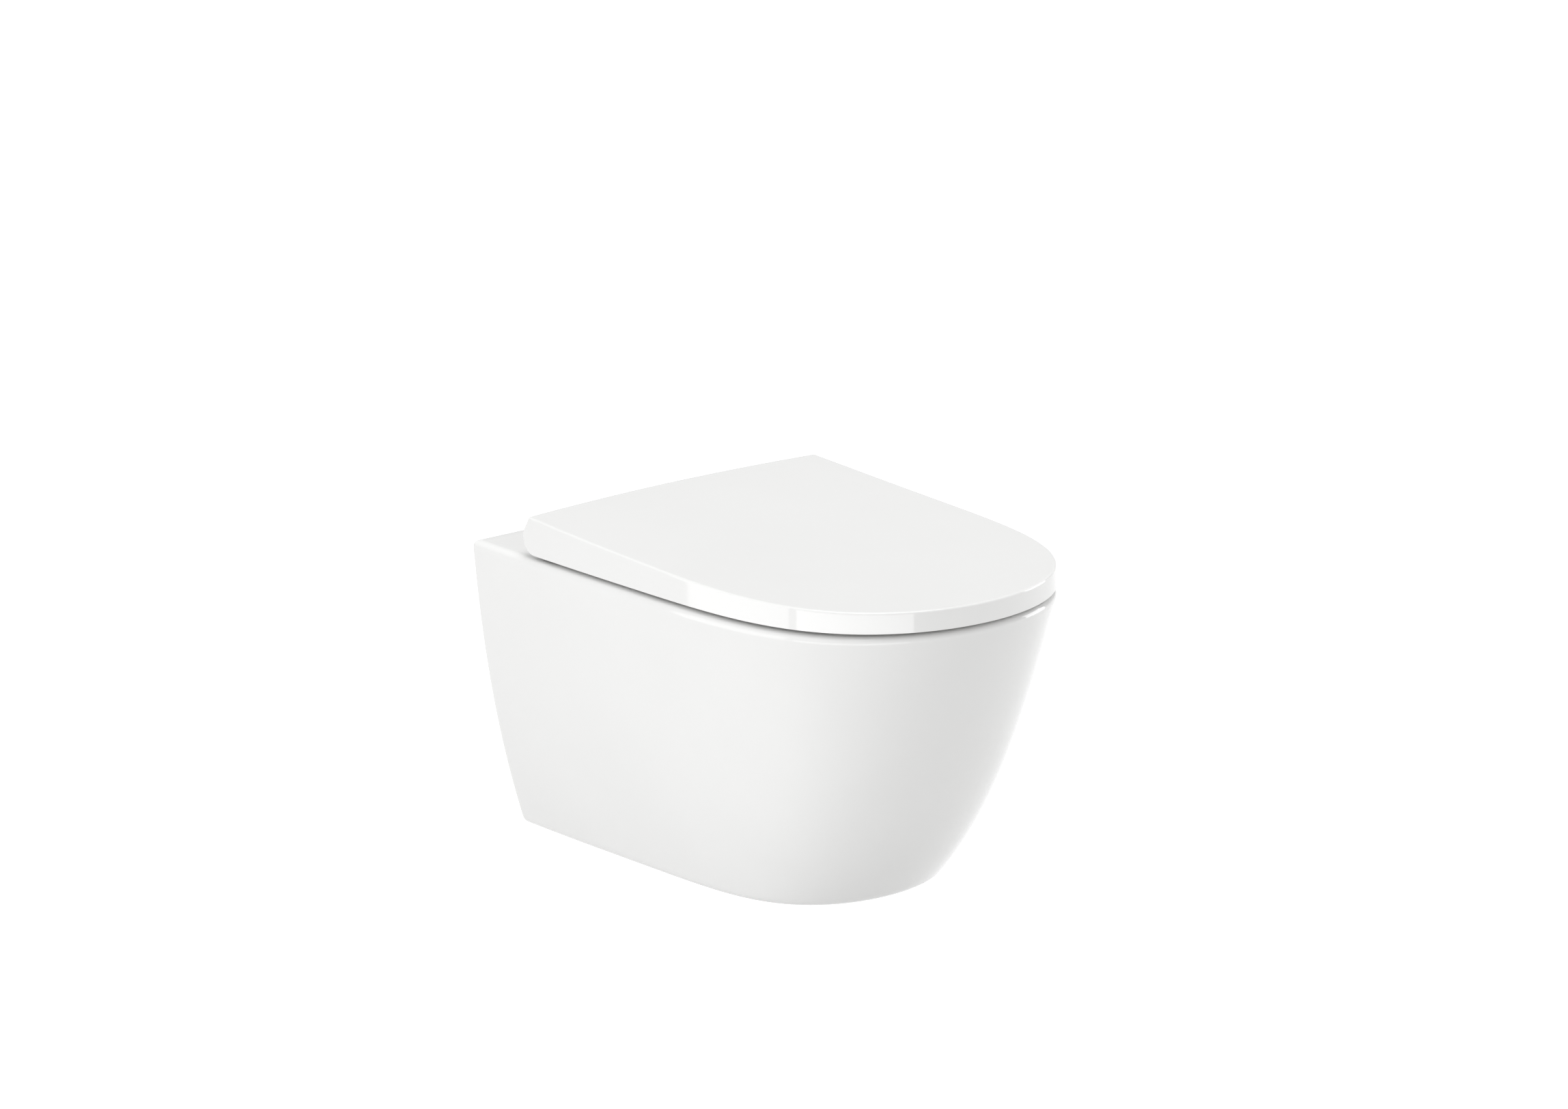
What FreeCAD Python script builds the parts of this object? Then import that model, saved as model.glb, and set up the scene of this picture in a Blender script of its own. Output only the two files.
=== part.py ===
"""Wall hung toilet: vitreous china pan, concealed wall fixings, lift-off seat and soft-close lid.

Millimetres, +Z up, +X to the right seen from the front, +Y into the wall. The wall is the plane
Y = 0 and the pan stands out from it towards -Y. The origin lies midway between the two wall studs.
"""

import FreeCAD, Part
import Sketcher
import math
import os
import re

Vector = FreeCAD.Vector

# Driving dimensions: alias, value, what it is. Lengths in millimetres, angles in degrees.
DIMENSIONS = (
    # pan, outside
    ("pan_width", 360.0, "width of the rim"),
    ("pan_length", 530.0, "wall to the front of the rim"),
    ("pan_height", 289.0, "underside to rim"),
    ("rim_height", 80.0, "stud centres to rim"),
    ("foot_width", 237.5, "width of the underside"),
    ("foot_length", 398.0, "wall to the front of the underside"),
    ("side_curl", 2.35, "power of the side's curve over the height"),
    ("side_curl_share", 0.51, "share of the side's spread that is curved"),
    ("nose_curl", 4.6, "power of the front's curve over the height"),
    ("nose_curl_share", 0.265, "share of the front's reach that is curved"),
    ("rim_shoulder", 213.0, "wall to where the rim starts to round"),
    ("foot_shoulder", 112.0, "wall to where the underside starts to round"),
    ("rim_squareness", 4.0, "power of the rim's front outline"),
    ("foot_squareness", 6.0, "power of the underside's front outline"),
    ("rim_taper", 4.0, "how far the rim draws in at the wall, each side"),
    ("foot_taper", 2.0, "how far the underside draws in at the wall, each side"),
    ("rim_round", 8.0, "radius of the rim's outer edge"),
    ("foot_round", 7.0, "radius of the underside's edge"),
    ("wall_round", 5.0, "radius of the upright edges at the wall"),
    ("china_wall", 10.0, "thickness of the outer china"),
    ("deck_thick", 12.0, "thickness of the deck and rim"),
    ("flange_width", 22.0, "face that rests on the wall, all round"),
    ("flange_depth", 12.0, "depth of that flange"),
    # bowl
    ("mouth_width", 276.0, "bowl mouth"),
    ("mouth_front", 42.0, "front of the pan to the bowl mouth"),
    ("mouth_back", 132.0, "wall to the bowl mouth"),
    ("mouth_round", 9.0, "radius of the mouth's edge"),
    ("bowl_widest", 300.0, "wall to the widest line of the mouth"),
    ("rim_wall", 50.0, "height of the upright wall under the rim"),
    ("ledge", 13.0, "width of the ledge that carries the flush water"),
    ("bowl_wall", 9.0, "thickness of the bowl's china"),
    ("sump_width", 84.0, "width of the sump"),
    ("sump_front", 288.0, "wall to the front of the sump"),
    ("sump_back", 188.0, "wall to the back of the sump"),
    ("sump_floor", 12.0, "china under the sump"),
    # trap
    ("trap_bore", 53.0, "bore of the trap"),
    ("trap_wall", 8.0, "china round the trap"),
    ("water_seal", 50.0, "depth of the water seal"),
    ("trap_bend", 45.0, "radius of the trap's lower bend"),
    ("trap_crest", 36.0, "radius of the trap's upper bends"),
    ("trap_rise", 70.0, "slope of the rising leg in degrees"),
    ("trap_fall", 40.0, "slope of the falling leg in degrees"),
    ("trap_exit", 38.0, "wall to where the trap runs level"),
    # pipes
    ("inlet_above_studs", 35.0, "flush inlet above the studs"),
    ("inlet_bore", 55.0, "socket for the flush pipe"),
    ("inlet_depth", 60.0, "depth of that socket"),
    ("duct_bore", 50.0, "duct from the socket to the bowl"),
    ("duct_wall", 9.0, "china round socket and duct"),
    ("outlet_below_studs", 100.0, "waste outlet below the studs"),
    ("outlet_outer", 102.0, "outside of the waste spigot"),
    ("outlet_bore", 84.0, "inside of the waste spigot"),
    ("outlet_depth", 50.0, "length of the waste spigot"),
    # concealed wall fixing
    ("stud_spacing", 180.0, "between the wall studs"),
    ("stud_hole", 13.0, "hole for a stud in the fixing block"),
    ("channel_bore", 34.0, "channel for the fixing block"),
    ("channel_depth", 75.0, "depth of that channel"),
    ("channel_wall", 8.0, "china round that channel"),
    ("channel_web", 16.0, "web from that channel to the side of the pan"),
    ("block_length", 64.0, "length of the fixing block"),
    ("block_gap", 0.3, "fixing block to channel, all round"),
    ("lock_place", 42.0, "wall to the locking screw"),
    ("lock_thread", 8.0, "diameter of the locking screw"),
    ("lock_length", 18.0, "length of the locking screw under its head"),
    ("lock_head", 14.0, "diameter of the locking screw's head"),
    ("lock_head_height", 6.0, "height of the locking screw's head"),
    ("lock_socket", 6.0, "hexagon socket across flats"),
    ("lock_socket_depth", 4.0, "depth of that socket"),
    ("key_hole", 18.0, "hole in the underside for the key"),
    ("lock_hole_gap", 0.5, "locking screw to its hole in the channel, all round"),
    ("screw_gap", 0.05, "screw to its hole, all round"),
    # flush distributor
    ("distributor_gap", 0.3, "distributor to duct, all round"),
    ("distributor_wall", 2.5, "wall of the distributor"),
    ("distributor_reach", 12.0, "how far its nose stands in the bowl"),
    ("distributor_start", 72.0, "wall to the rear end of the distributor"),
    ("distributor_lip", 3.0, "thickness of its front plate"),
    ("spout_height", 22.0, "height of its side openings"),
    # seat fixings
    ("hinge_spacing", 155.0, "between the seat's fixing holes"),
    ("hinge_place", 91.5, "wall to the hinge axis and the fixing holes"),
    ("hinge_height", 19.0, "rim to the hinge axis"),
    ("deck_hole", 15.0, "seat fixing hole"),
    ("gasket_thick", 1.0, "rubber washer under the base"),
    ("gasket_outer", 38.0, "rubber washer across"),
    ("base_outer", 40.0, "steel base across"),
    ("base_thick", 2.0, "steel base"),
    ("post_outer", 12.0, "post that the seat clicks onto"),
    ("post_height", 8.7, "height of that post"),
    ("post_neck", 9.0, "diameter of the post's groove"),
    ("neck_low", 3.0, "base to the groove"),
    ("neck_high", 5.6, "base to the top of the groove"),
    ("post_chamfer", 0.5, "chamfer on the post"),
    ("fixing_thread", 6.0, "fixing screw"),
    ("fixing_head", 10.4, "head of the fixing screw"),
    ("fixing_head_height", 2.4, "height of that countersunk head"),
    ("fixing_length", 55.0, "length of the fixing screw"),
    ("drive_socket", 4.0, "hexagon socket across flats in the fixing screw"),
    ("drive_depth", 2.0, "depth of that socket"),
    ("sleeve_outer", 14.4, "rubber expansion sleeve"),
    ("sleeve_length", 36.0, "length of the expansion sleeve"),
    ("sleeve_bore", 6.8, "bore of the expansion sleeve"),
    ("sleeve_mouth", 11.0, "bore at the sleeve's lower end"),
    ("sleeve_flare", 9.0, "depth of the sleeve's flared end"),
    ("cone_length", 13.0, "length of the cone nut"),
    ("cone_entry", 7.0, "how much of the cone nut is in the sleeve"),
    ("cone_gap", 0.3, "cone nut to sleeve"),
    # hinge housings
    ("housing_inner", 60.0, "middle of the seat to the housing's inner end"),
    ("housing_outer", 97.0, "middle of the seat to the housing's outer end"),
    ("housing_round", 14.5, "radius of the housing about the axis"),
    ("foot_rear", 9.5, "hinge axis to the rear face of the housing's foot"),
    ("housing_lift", 0.3, "steel base to the housing"),
    ("socket_gap", 0.1, "post to its socket, all round"),
    ("damper_outer", 12.0, "damper barrel"),
    ("damper_length", 31.0, "length of the damper barrel"),
    ("shaft_outer", 7.0, "damper shaft and hinge pin"),
    ("shaft_entry", 22.0, "how far a shaft reaches into its damper"),
    ("running_gap", 0.05, "shaft to its hole, all round"),
    # release buttons
    ("button_width", 17.0, "release button across"),
    ("button_height", 5.0, "release button's height"),
    ("button_proud", 3.2, "how far it stands out of the housing"),
    ("button_inset", 1.5, "how far its head reaches into the housing"),
    ("button_travel", 2.5, "how far it is pressed"),
    ("button_gap", 0.3, "button to its window, all round"),
    ("latch_thick", 2.0, "latch plate round the post"),
    ("latch_gap", 0.3, "latch plate to post"),
    ("latch_rim", 2.2, "width of the latch plate beside the post"),
    ("spring_wire", 0.6, "latch spring wire"),
    ("spring_outer", 4.2, "latch spring across"),
    ("spring_turns", 2.5, "latch spring turns"),
    ("spring_room", 4.2, "room for the latch spring"),
    ("spring_end_gap", 0.4, "play at the spring's two ends together"),
    # seat
    ("seat_lift", 4.5, "rim to the seat's underside"),
    ("seat_thick", 13.0, "thickness of the seat"),
    ("seat_margin", 2.0, "seat's edge to the inside of the lid"),
    ("seat_rear", 111.0, "wall to the seat's rear edge"),
    ("seat_hole_width", 222.0, "opening of the seat across"),
    ("seat_hole_front", 68.0, "front of the pan to the seat's opening"),
    ("seat_hole_back", 188.0, "wall to the seat's opening"),
    ("seat_hole_widest", 322.0, "wall to the opening's widest line"),
    ("seat_inner_round", 8.0, "radius of the opening's upper edge"),
    ("seat_outer_round", 5.0, "radius of the seat's outer upper edge"),
    ("seat_lower_round", 1.5, "radius of the seat's lower edges"),
    ("seat_corner", 12.0, "radius of the seat's rear corners"),
    ("pin_gap", 1.0, "between the seat's shaft and the lid's pin"),
    ("knuckle_round", 11.5, "radius of the hinge knuckles"),
    ("seat_knuckle_start", 97.5, "middle of the seat to the seat's knuckle"),
    ("seat_knuckle_end", 121.5, "middle of the seat to the far side of that knuckle"),
    ("bush_wall", 2.0, "wall of the hinge bush"),
    ("buffer_across", 18.0, "seat buffer"),
    ("buffer_gap", 0.3, "buffer to what it rests on"),
    ("buffer_stem", 5.0, "stem of a buffer"),
    ("buffer_stem_length", 5.0, "length of a seat buffer's stem"),
    ("buffer_side", 150.0, "middle of the seat to a rear buffer"),
    ("buffer_rear", 250.0, "wall to the rear buffers"),
    ("buffer_front_side", 78.0, "middle of the seat to a front buffer"),
    ("buffer_front", 484.0, "wall to the front buffers"),
    # lid
    ("lid_gap", 3.5, "rim to the lid's lower edge"),
    ("lid_margin", 3.0, "rim's side to the lid's side"),
    ("lid_rear", 85.3, "wall to the lid's rear corner"),
    ("lid_front_height", 19.3, "height of the lid at the front"),
    ("lid_rear_height", 35.3, "height of the lid at the rear"),
    ("lid_slope_curl", 1.7, "power of the lid top's curve"),
    ("lid_crown", 1.6, "rise of the lid's middle at the rear"),
    ("lid_bow", 6.0, "how far the rear edge's middle stands back"),
    ("lid_draft", 0.65, "how far the lid's side leans in"),
    ("lid_round", 2.0, "radius of the lid's upper edge"),
    ("lid_wall", 3.6, "thickness of the lid"),
    ("lid_arc", 15.5, "radius of the lid's rear about the hinge axis"),
    ("lid_knuckle_round", 13.7, "radius of the lid's knuckles"),
    ("lid_knuckle_start", 122.0, "middle of the seat to the lid's knuckle"),
    ("lid_knuckle_end", 146.0, "middle of the seat to the far side of that knuckle"),
    ("lid_rib", 8.0, "rib from the lid's knuckle to its top"),
    ("notch_gap", 1.0, "side clearance of the notches in the lid's rear"),
    ("notch_round", 19.6, "reach of those notches from the hinge axis"),
    ("notch_back", 6.0, "hinge axis to where the notches start"),
    ("barrel_gap", 0.6, "lid to the hinge housing"),
    ("lid_buffer_across", 12.0, "lid buffer"),
    ("lid_buffer_thick", 1.4, "lid buffer"),
    ("lid_boss_margin", 1.0, "lid buffer to the edge of its boss"),
    ("lid_buffer_side", 62.0, "middle of the seat to a lid buffer"),
    ("lid_buffer_front", 476.0, "wall to the lid buffers"),
    ("lid_buffer_stem_across", 4.0, "diameter of a lid buffer's stem"),
    ("lid_buffer_stem", 2.4, "length of a lid buffer's stem"),
)

doc = FreeCAD.newDocument("wall_hung_toilet")
sheet = doc.addObject("Spreadsheet::Sheet", "sizes")
for row, (alias, value, meaning) in enumerate(DIMENSIONS, start=1):
    sheet.set(f"A{row}", alias)
    sheet.set(f"B{row}", str(value))
    sheet.setAlias(f"B{row}", alias)
    sheet.set(f"C{row}", meaning)
doc.recompute()

ALIASES = {alias for alias, value, meaning in DIMENSIONS}
SIDES = (("left", -1), ("right", 1))
ALONG_X = FreeCAD.Rotation(Vector(0, 1, 0), 90)
TOWARDS_FRONT = FreeCAD.Rotation(Vector(1, 0, 0), 90)
OUTLINE_STEPS = 24
FINE_STEPS = 200
ROUND_STEPS = 4
OVAL_STEPS = 16
SKIN_LEVELS = 10
FUNNEL_LEVELS = 6
FLARE_END = math.radians(75)
FLARE_RUN = 0.26
LID_STEPS = 12
LID_SECTIONS = 3
OVERSHOOT = 5.0
OVERLAP = 1.0
FULL_TURN = 360
LEAST_CORNER = 1.0
FUNNEL_PULL = 0.8
TOP_TOLERANCE = 0.3
LID_OUTLINE_START = 1 / 3

# Heights and places that several pieces share, as rules.
BASE_TOP = "(rim_height + gasket_thick + base_thick)"
AXIS_Y = "-hinge_place"
AXIS_Z = "(rim_height + hinge_height)"
SEAT_BOTTOM = "(rim_height + seat_lift)"
LATCH_FRONT = "(post_outer / 2 + latch_gap + latch_rim)"
BUTTON_ROOM = "(button_inset + button_travel + button_gap)"
DAMPER_NAMES = {"left": "lid_damper", "right": "seat_damper"}


class Sizes:
    """The sheet's cells as plain numbers: size.pan_width and so on."""

    def __getattr__(self, alias):
        return float(getattr(sheet, alias))


size = Sizes()
pieces = {}


# ---------------------------------------------------------------- objects bound to the sheet


def bound(rule):
    """A rule such as pan_width / 2, written for the sheet's cells."""
    return re.sub(r"[a-z]\w*", lambda word: "sizes." + word[0] if word[0] in ALIASES else word[0], rule)


def place(thing, spot):
    """Binds the thing's place to rules for x, y and z."""
    for axis, rule in zip("xyz", spot):
        thing.setExpression("Placement.Base." + axis, bound(rule))
    return thing


def primitive(kind, name, sizes, spot, turn=None):
    """A Part primitive whose sizes and place are rules."""
    thing = doc.addObject("Part::" + kind, name)
    if turn is not None:
        thing.Placement = FreeCAD.Placement(Vector(), turn)
    for quantity, rule in sizes.items():
        thing.setExpression(quantity, bound(rule))
    return place(thing, spot)


def rod(name, radius, length, start, turn=None):
    """A cylinder that starts at a point and runs upwards, or where the turn points it."""
    return primitive("Cylinder", name, {"Radius": radius, "Height": length}, start, turn)


def cross_rod(name, radius, inner, outer, side):
    """A cylinder on the hinge axis, between two distances from the middle of the seat."""
    start = inner if side > 0 else f"-({outer})"
    return rod(name, radius, f"({outer}) - ({inner})", (start, AXIS_Y, AXIS_Z), ALONG_X)


def block(name, low, high):
    """A box between two corners."""
    spans = {edge: f"({b}) - ({a})" for edge, a, b in zip(("Length", "Width", "Height"), low, high)}
    return primitive("Box", name, spans, low)


def fused(name, *things):
    """The things as one."""
    whole = doc.addObject("Part::MultiFuse", name)
    whole.Shapes = list(things)
    return whole


def cut(name, base, *tools):
    """The base less every tool."""
    rest = doc.addObject("Part::Cut", name)
    rest.Base = base
    rest.Tool = tools[0] if len(tools) == 1 else fused(name + "_tools", *tools)
    return rest


def turned(name, corners, spot):
    """A body turned about its upright axis from a closed outline of (radius, height) rules."""
    body = doc.addObject("PartDesign::Body", name)
    sketch = body.newObject("Sketcher::SketchObject", name + "_outline")
    upright = next(plane for plane in body.Origin.OriginFeatures if plane.Role == "XZ_Plane")
    sketch.AttachmentSupport = (upright, [""])
    sketch.MapMode = "FlatFace"
    count = len(corners)
    around = [2 * math.pi * index / count for index in range(count + 1)]
    draft = [Vector(math.cos(angle) + 2, math.sin(angle) + 2, 0) for angle in around]
    for start, end in zip(draft[:-1], draft[1:]):
        sketch.addGeometry(Part.LineSegment(start, end), False)
    for line in range(count):
        sketch.addConstraint(Sketcher.Constraint("Coincident", line, 2, (line + 1) % count, 1))
    for line, (radius, height) in enumerate(corners):
        for direction, rule, start in (("DistanceX", radius, draft[line].x), ("DistanceY", height, draft[line].y)):
            if rule == "0":
                axis = -2 if direction == "DistanceX" else -1
                sketch.addConstraint(Sketcher.Constraint("PointOnObject", line, 1, axis))
                continue
            number = sketch.addConstraint(Sketcher.Constraint(direction, -1, 1, line, 1, start))
            sketch.setExpression(f"Constraints[{number}]", bound(rule))
    turn = body.newObject("PartDesign::Revolution", name + "_turned")
    turn.Profile = sketch
    turn.ReferenceAxis = (sketch, ["V_Axis"])
    turn.Angle = FULL_TURN
    sketch.Visibility = False
    return place(body, spot)


def piece(label, thing):
    """Keeps a finished sub-part under its own name."""
    thing.Label = label
    pieces[label] = thing
    return thing


def free_form(label, shape):
    """A sub-part whose curved shape is worked out below from the sheet's values."""
    thing = doc.addObject("Part::Feature", label)
    thing.Shape = shape
    thing.Placement = FreeCAD.Placement()
    return piece(label, thing)


def group(label, things):
    """Equal parts kept as separate solids of one sub-part."""
    together = doc.addObject("Part::Compound", label)
    together.Links = things
    return piece(label, together)


# ---------------------------------------------------------------- curves


def spline(points, first, last):
    """A smooth edge through the points; equal parameters keep neighbouring sections in step."""
    curve = Part.BSplineCurve()
    curve.interpolate(
        Points=points,
        Parameters=[float(index) for index in range(len(points))],
        InitialTangent=first,
        FinalTangent=last,
    )
    return curve.toShape()


def horseshoe(half_width, front, shoulder, squareness, taper, height, rear=0.0, corner=0.0):
    """A closed outline: straight at the wall side, nearly straight flanks, rounded front.

    In front of the shoulder (x / half width)^2 + (t)^squareness = 1, with t from 0 at the shoulder
    to 1 at the front. Behind it the flanks draw in by taper times the square of the way to the wall.
    A corner radius rounds the two rear corners.
    """
    first = rear + corner
    fine = []
    for step in range(FINE_STEPS):
        depth = first + (shoulder - first) * step / FINE_STEPS
        fine.append((half_width - taper * ((shoulder - depth) / shoulder) ** 2, depth))
    for step in range(FINE_STEPS + 1):
        angle = math.pi / 2 * (step / FINE_STEPS) ** (squareness / 2)
        reach = math.sin(angle) ** (2 / squareness)
        fine.append((half_width * math.cos(angle), shoulder + (front - shoulder) * reach))
    right = evenly_spaced(fine, OUTLINE_STEPS)
    whole = [(-x, depth) for x, depth in right[:-1]] + [(x, depth) for x, depth in reversed(right)]
    points = [Vector(x, -depth, height) for x, depth in whole]
    slope = 2 * taper * (shoulder - first) / shoulder**2
    curve = spline(points, Vector(-slope, -1, 0), Vector(-slope, 1, 0))
    left, right = points[0], points[-1]
    if corner == 0:
        return Part.Wire([curve, Part.makeLine(right, left)])
    inner = Vector(corner, 0, 0)
    outer = Vector(0, corner, 0)
    bulge = corner * (1 - math.sqrt(0.5))
    arcs = []
    for foot, inward in ((right, -1), (left, 1)):
        middle = foot + Vector(inward * bulge, corner - bulge, 0)
        arcs.append(Part.Arc(foot, middle, foot + inner * inward + outer).toShape())
    back = Part.makeLine(right - inner + outer, left + inner + outer)
    return Part.Wire([curve, arcs[0], back, arcs[1]])


def evenly_spaced(fine, count):
    """Points at equal steps along a finely divided line, from its first point to its last."""
    travelled = [0.0]
    for start, end in zip(fine[:-1], fine[1:]):
        travelled.append(travelled[-1] + math.dist(start, end))
    points, index = [], 0
    for step in range(count):
        goal = travelled[-1] * step / count
        while travelled[index + 1] < goal:
            index += 1
        share = (goal - travelled[index]) / (travelled[index + 1] - travelled[index])
        points.append(tuple(a + (b - a) * share for a, b in zip(fine[index], fine[index + 1])))
    return points + [fine[-1]]


def oval(half_width, front, widest, back, height):
    """A closed egg: two half ellipses that share their widest line."""
    halves = []
    for start, reach in ((1, front - widest), (-1, widest - back)):
        points = []
        for step in range(OVAL_STEPS + 1):
            angle = math.pi * step / OVAL_STEPS
            across = start * half_width * math.cos(angle)
            points.append(Vector(across, -widest - start * reach * math.sin(angle), height))
        halves.append(spline(points, Vector(0, -start, 0), Vector(0, start, 0)))
    return Part.Wire(halves)


def loft(wires):
    """A smooth closed solid through the outlines."""
    return Part.makeLoft(wires, True, False)


def box_between(low, high):
    """A plain box between two corners."""
    low, high = Vector(*low), Vector(*high)
    return Part.makeBox(high.x - low.x, high.y - low.y, high.z - low.z, low)


def bar(radius, start, end):
    """A round bar between two points."""
    way = Vector(*end) - Vector(*start)
    return Part.makeCylinder(radius, way.Length, Vector(*start), way)


def quarter_round(radius):
    """How far in and how far up a rounded edge is, from its start on the wall to its top."""
    steps = [math.pi / 2 * step / ROUND_STEPS for step in range(ROUND_STEPS + 1)]
    return [(radius * (1 - math.cos(angle)), radius * math.sin(angle)) for angle in steps]


def flare(radius):
    """The same for a cutting form: it crosses the face at a clear angle and runs on past it."""
    steps = [FLARE_END * step / ROUND_STEPS for step in range(ROUND_STEPS + 1)]
    points = [(radius * (1 - math.cos(angle)), radius * math.sin(angle)) for angle in steps]
    out, rise = points[-1]
    run = FLARE_RUN * radius
    return points + [(out + run * math.sin(FLARE_END), rise + run * math.cos(FLARE_END))]


def stacked(*solids):
    """Solids that meet face to face, as one."""
    return solids[0].fuse(list(solids[1:])).removeSplitter()


# ---------------------------------------------------------------- pan

PAN_BOTTOM = size.rim_height - size.pan_height


def curl(share, power, level):
    """0 at the underside and 1 at the rim: part of the spread bulges out early, the rest is straight."""
    return share * (1 - (1 - level) ** power) + (1 - share) * level


def between(low, high, level):
    """The value at a level between the underside and the rim."""
    return low + (high - low) * level


def skin_outline(height, inset=0.0, rear=0.0, corner=0.0):
    """The pan's horizontal outline at a height above its underside, drawn in by an inset."""
    level = height / size.pan_height
    side = curl(size.side_curl_share, size.side_curl, level)
    nose = curl(size.nose_curl_share, size.nose_curl, level)
    return horseshoe(
        between(size.foot_width, size.pan_width, side) / 2 - inset,
        between(size.foot_length, size.pan_length, nose) - inset,
        between(size.foot_shoulder, size.rim_shoulder, level),
        between(size.foot_squareness, size.rim_squareness, level),
        between(size.foot_taper, size.rim_taper, level),
        PAN_BOTTOM + height,
        rear,
        corner,
    )


def skin(low, high, inset=0.0, rear=0.0, corner=0.0):
    """The pan's form between two heights above its underside, drawn in by an inset."""
    heights = [between(low, high, step / SKIN_LEVELS) for step in range(SKIN_LEVELS + 1)]
    return loft([skin_outline(height, inset, rear, corner) for height in heights])


def outer_skin():
    """The pan's outside: the walls between two rounded edges."""
    def edge(start, radius, upwards):
        outlines = []
        for inset, rise in quarter_round(radius):
            corner = max(size.wall_round - inset, LEAST_CORNER)
            outlines.append(skin_outline(start + upwards * rise, inset, inset, corner))
        return loft(outlines[::upwards])

    low = size.foot_round
    high = size.pan_height - size.rim_round
    foot = edge(low, size.foot_round, -1)
    rim = edge(high, size.rim_round, 1)
    return stacked(foot, skin(low, high, corner=size.wall_round), rim)


def slab(near, far):
    """A layer of space between two distances from the wall, wider and taller than the pan."""
    half = size.pan_width
    return box_between((-half, -far, -size.pan_height), (half, -near, size.pan_height))


def rear_hollow():
    """The space inside the pan, narrower where the flange rests on the wall."""
    top = size.pan_height - size.deck_thick
    inside = skin(size.china_wall, top, size.china_wall).cut(slab(-OVERSHOOT, size.flange_depth))
    low = size.flange_width
    high = size.pan_height - size.flange_width
    mouth = skin(low, high, size.flange_width, -OVERSHOOT).common(slab(-OVERSHOOT, size.flange_depth + OVERLAP))
    return inside.fuse(mouth)


def bowl_form(grow):
    """The bowl's inside, grown on every side: a steep upper part, a ledge and a funnel to the sump."""
    mouth_half = size.mouth_width / 2
    mouth_front = size.pan_length - size.mouth_front
    sump_level = PAN_BOTTOM + size.sump_floor - grow
    ledge_level = size.rim_height - size.rim_wall - grow
    top = size.rim_height + (OVERSHOOT if grow == 0 else -OVERLAP)
    upper = []
    for height in (ledge_level, (ledge_level + top) / 2, top):
        upper.append(oval(mouth_half + grow, mouth_front + grow, size.bowl_widest, size.mouth_back - grow, height))
    funnel = []
    for step in range(FUNNEL_LEVELS + 1):
        sunk = step / FUNNEL_LEVELS
        pull = sunk ** FUNNEL_PULL
        half = between(mouth_half - size.ledge, size.sump_width / 2, pull) + grow
        front = between(mouth_front - size.ledge, size.sump_front, pull) + grow
        back = between(size.mouth_back + size.ledge, size.sump_back, pull) - grow
        widest = between(size.bowl_widest, (size.sump_front + size.sump_back) / 2, pull)
        height = between(ledge_level + OVERLAP, sump_level, sunk)
        funnel.append(oval(half, front, widest, back, height))
    form = loft(upper).fuse(loft(funnel[::-1]))
    if grow > 0:
        return form
    edge = []
    for out, rise in flare(size.mouth_round):
        height = size.rim_height - size.mouth_round + rise
        edge.append(oval(mouth_half + out, mouth_front + out, size.bowl_widest, size.mouth_back - out, height))
    return form.fuse(loft(edge))


class Walk:
    """A path in the plane of symmetry: straight runs and arcs that follow on smoothly."""

    def __init__(self, depth, height):
        self.depth, self.height, self.slope, self.edges = depth, height, 0.0, []

    def point(self):
        return Vector(0, -self.depth, self.height)

    def run(self, length):
        start = self.point()
        self.depth -= length * math.cos(self.slope)
        self.height += length * math.sin(self.slope)
        self.edges.append(Part.makeLine(start, self.point()))

    def bend(self, radius, slope):
        """An arc of that radius until the path has that slope, in degrees."""
        goal = math.radians(slope)
        side = 1 if goal > self.slope else -1
        centre_depth = self.depth + side * radius * math.sin(self.slope)
        centre_height = self.height + side * radius * math.cos(self.slope)
        points = []
        for angle in (self.slope, (self.slope + goal) / 2, goal):
            depth = centre_depth - side * radius * math.sin(angle)
            points.append(Vector(0, -depth, centre_height - side * radius * math.cos(angle)))
        self.edges.append(Part.Arc(*points).toShape())
        self.depth, self.height, self.slope = -points[2].y, points[2].z, goal


def trap_path():
    """Out of the sump, up to the weir that holds the water, and down to the outlet."""
    rise = math.radians(size.trap_rise)
    fall = math.radians(size.trap_fall)
    start_height = PAN_BOTTOM + size.sump_floor + size.trap_bore / 2
    crest = start_height + size.trap_bore + size.water_seal
    outlet = -size.outlet_below_studs
    climb = crest - start_height - (size.trap_bend + size.trap_crest) * (1 - math.cos(rise))
    drop = crest - outlet - 2 * size.trap_crest * (1 - math.cos(fall))
    up = climb / math.sin(rise)
    down = drop / math.sin(fall)
    across = size.trap_bend * math.sin(rise) + up * math.cos(rise) + down * math.cos(fall)
    across += size.trap_crest * (math.sin(rise) + 2 * math.sin(fall))
    start = max(size.sump_back + size.trap_bore / 2, size.trap_exit + across)
    walk = Walk(start, start_height)
    walk.run(start - size.trap_exit - across)
    walk.bend(size.trap_bend, size.trap_rise)
    walk.run(up)
    walk.bend(size.trap_crest, -size.trap_fall)
    walk.run(down)
    walk.bend(size.trap_crest, 0)
    walk.run(size.trap_exit)
    return Part.Wire(walk.edges)


def trap_tube(radius):
    """A solid tube along the trap's path."""
    path = trap_path()
    start = path.Edges[0].Vertexes[0].Point
    ring = Part.Wire(Part.makeCircle(radius, start, Vector(0, 1, 0)))
    return path.makePipeShell([ring], True, False)


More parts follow.
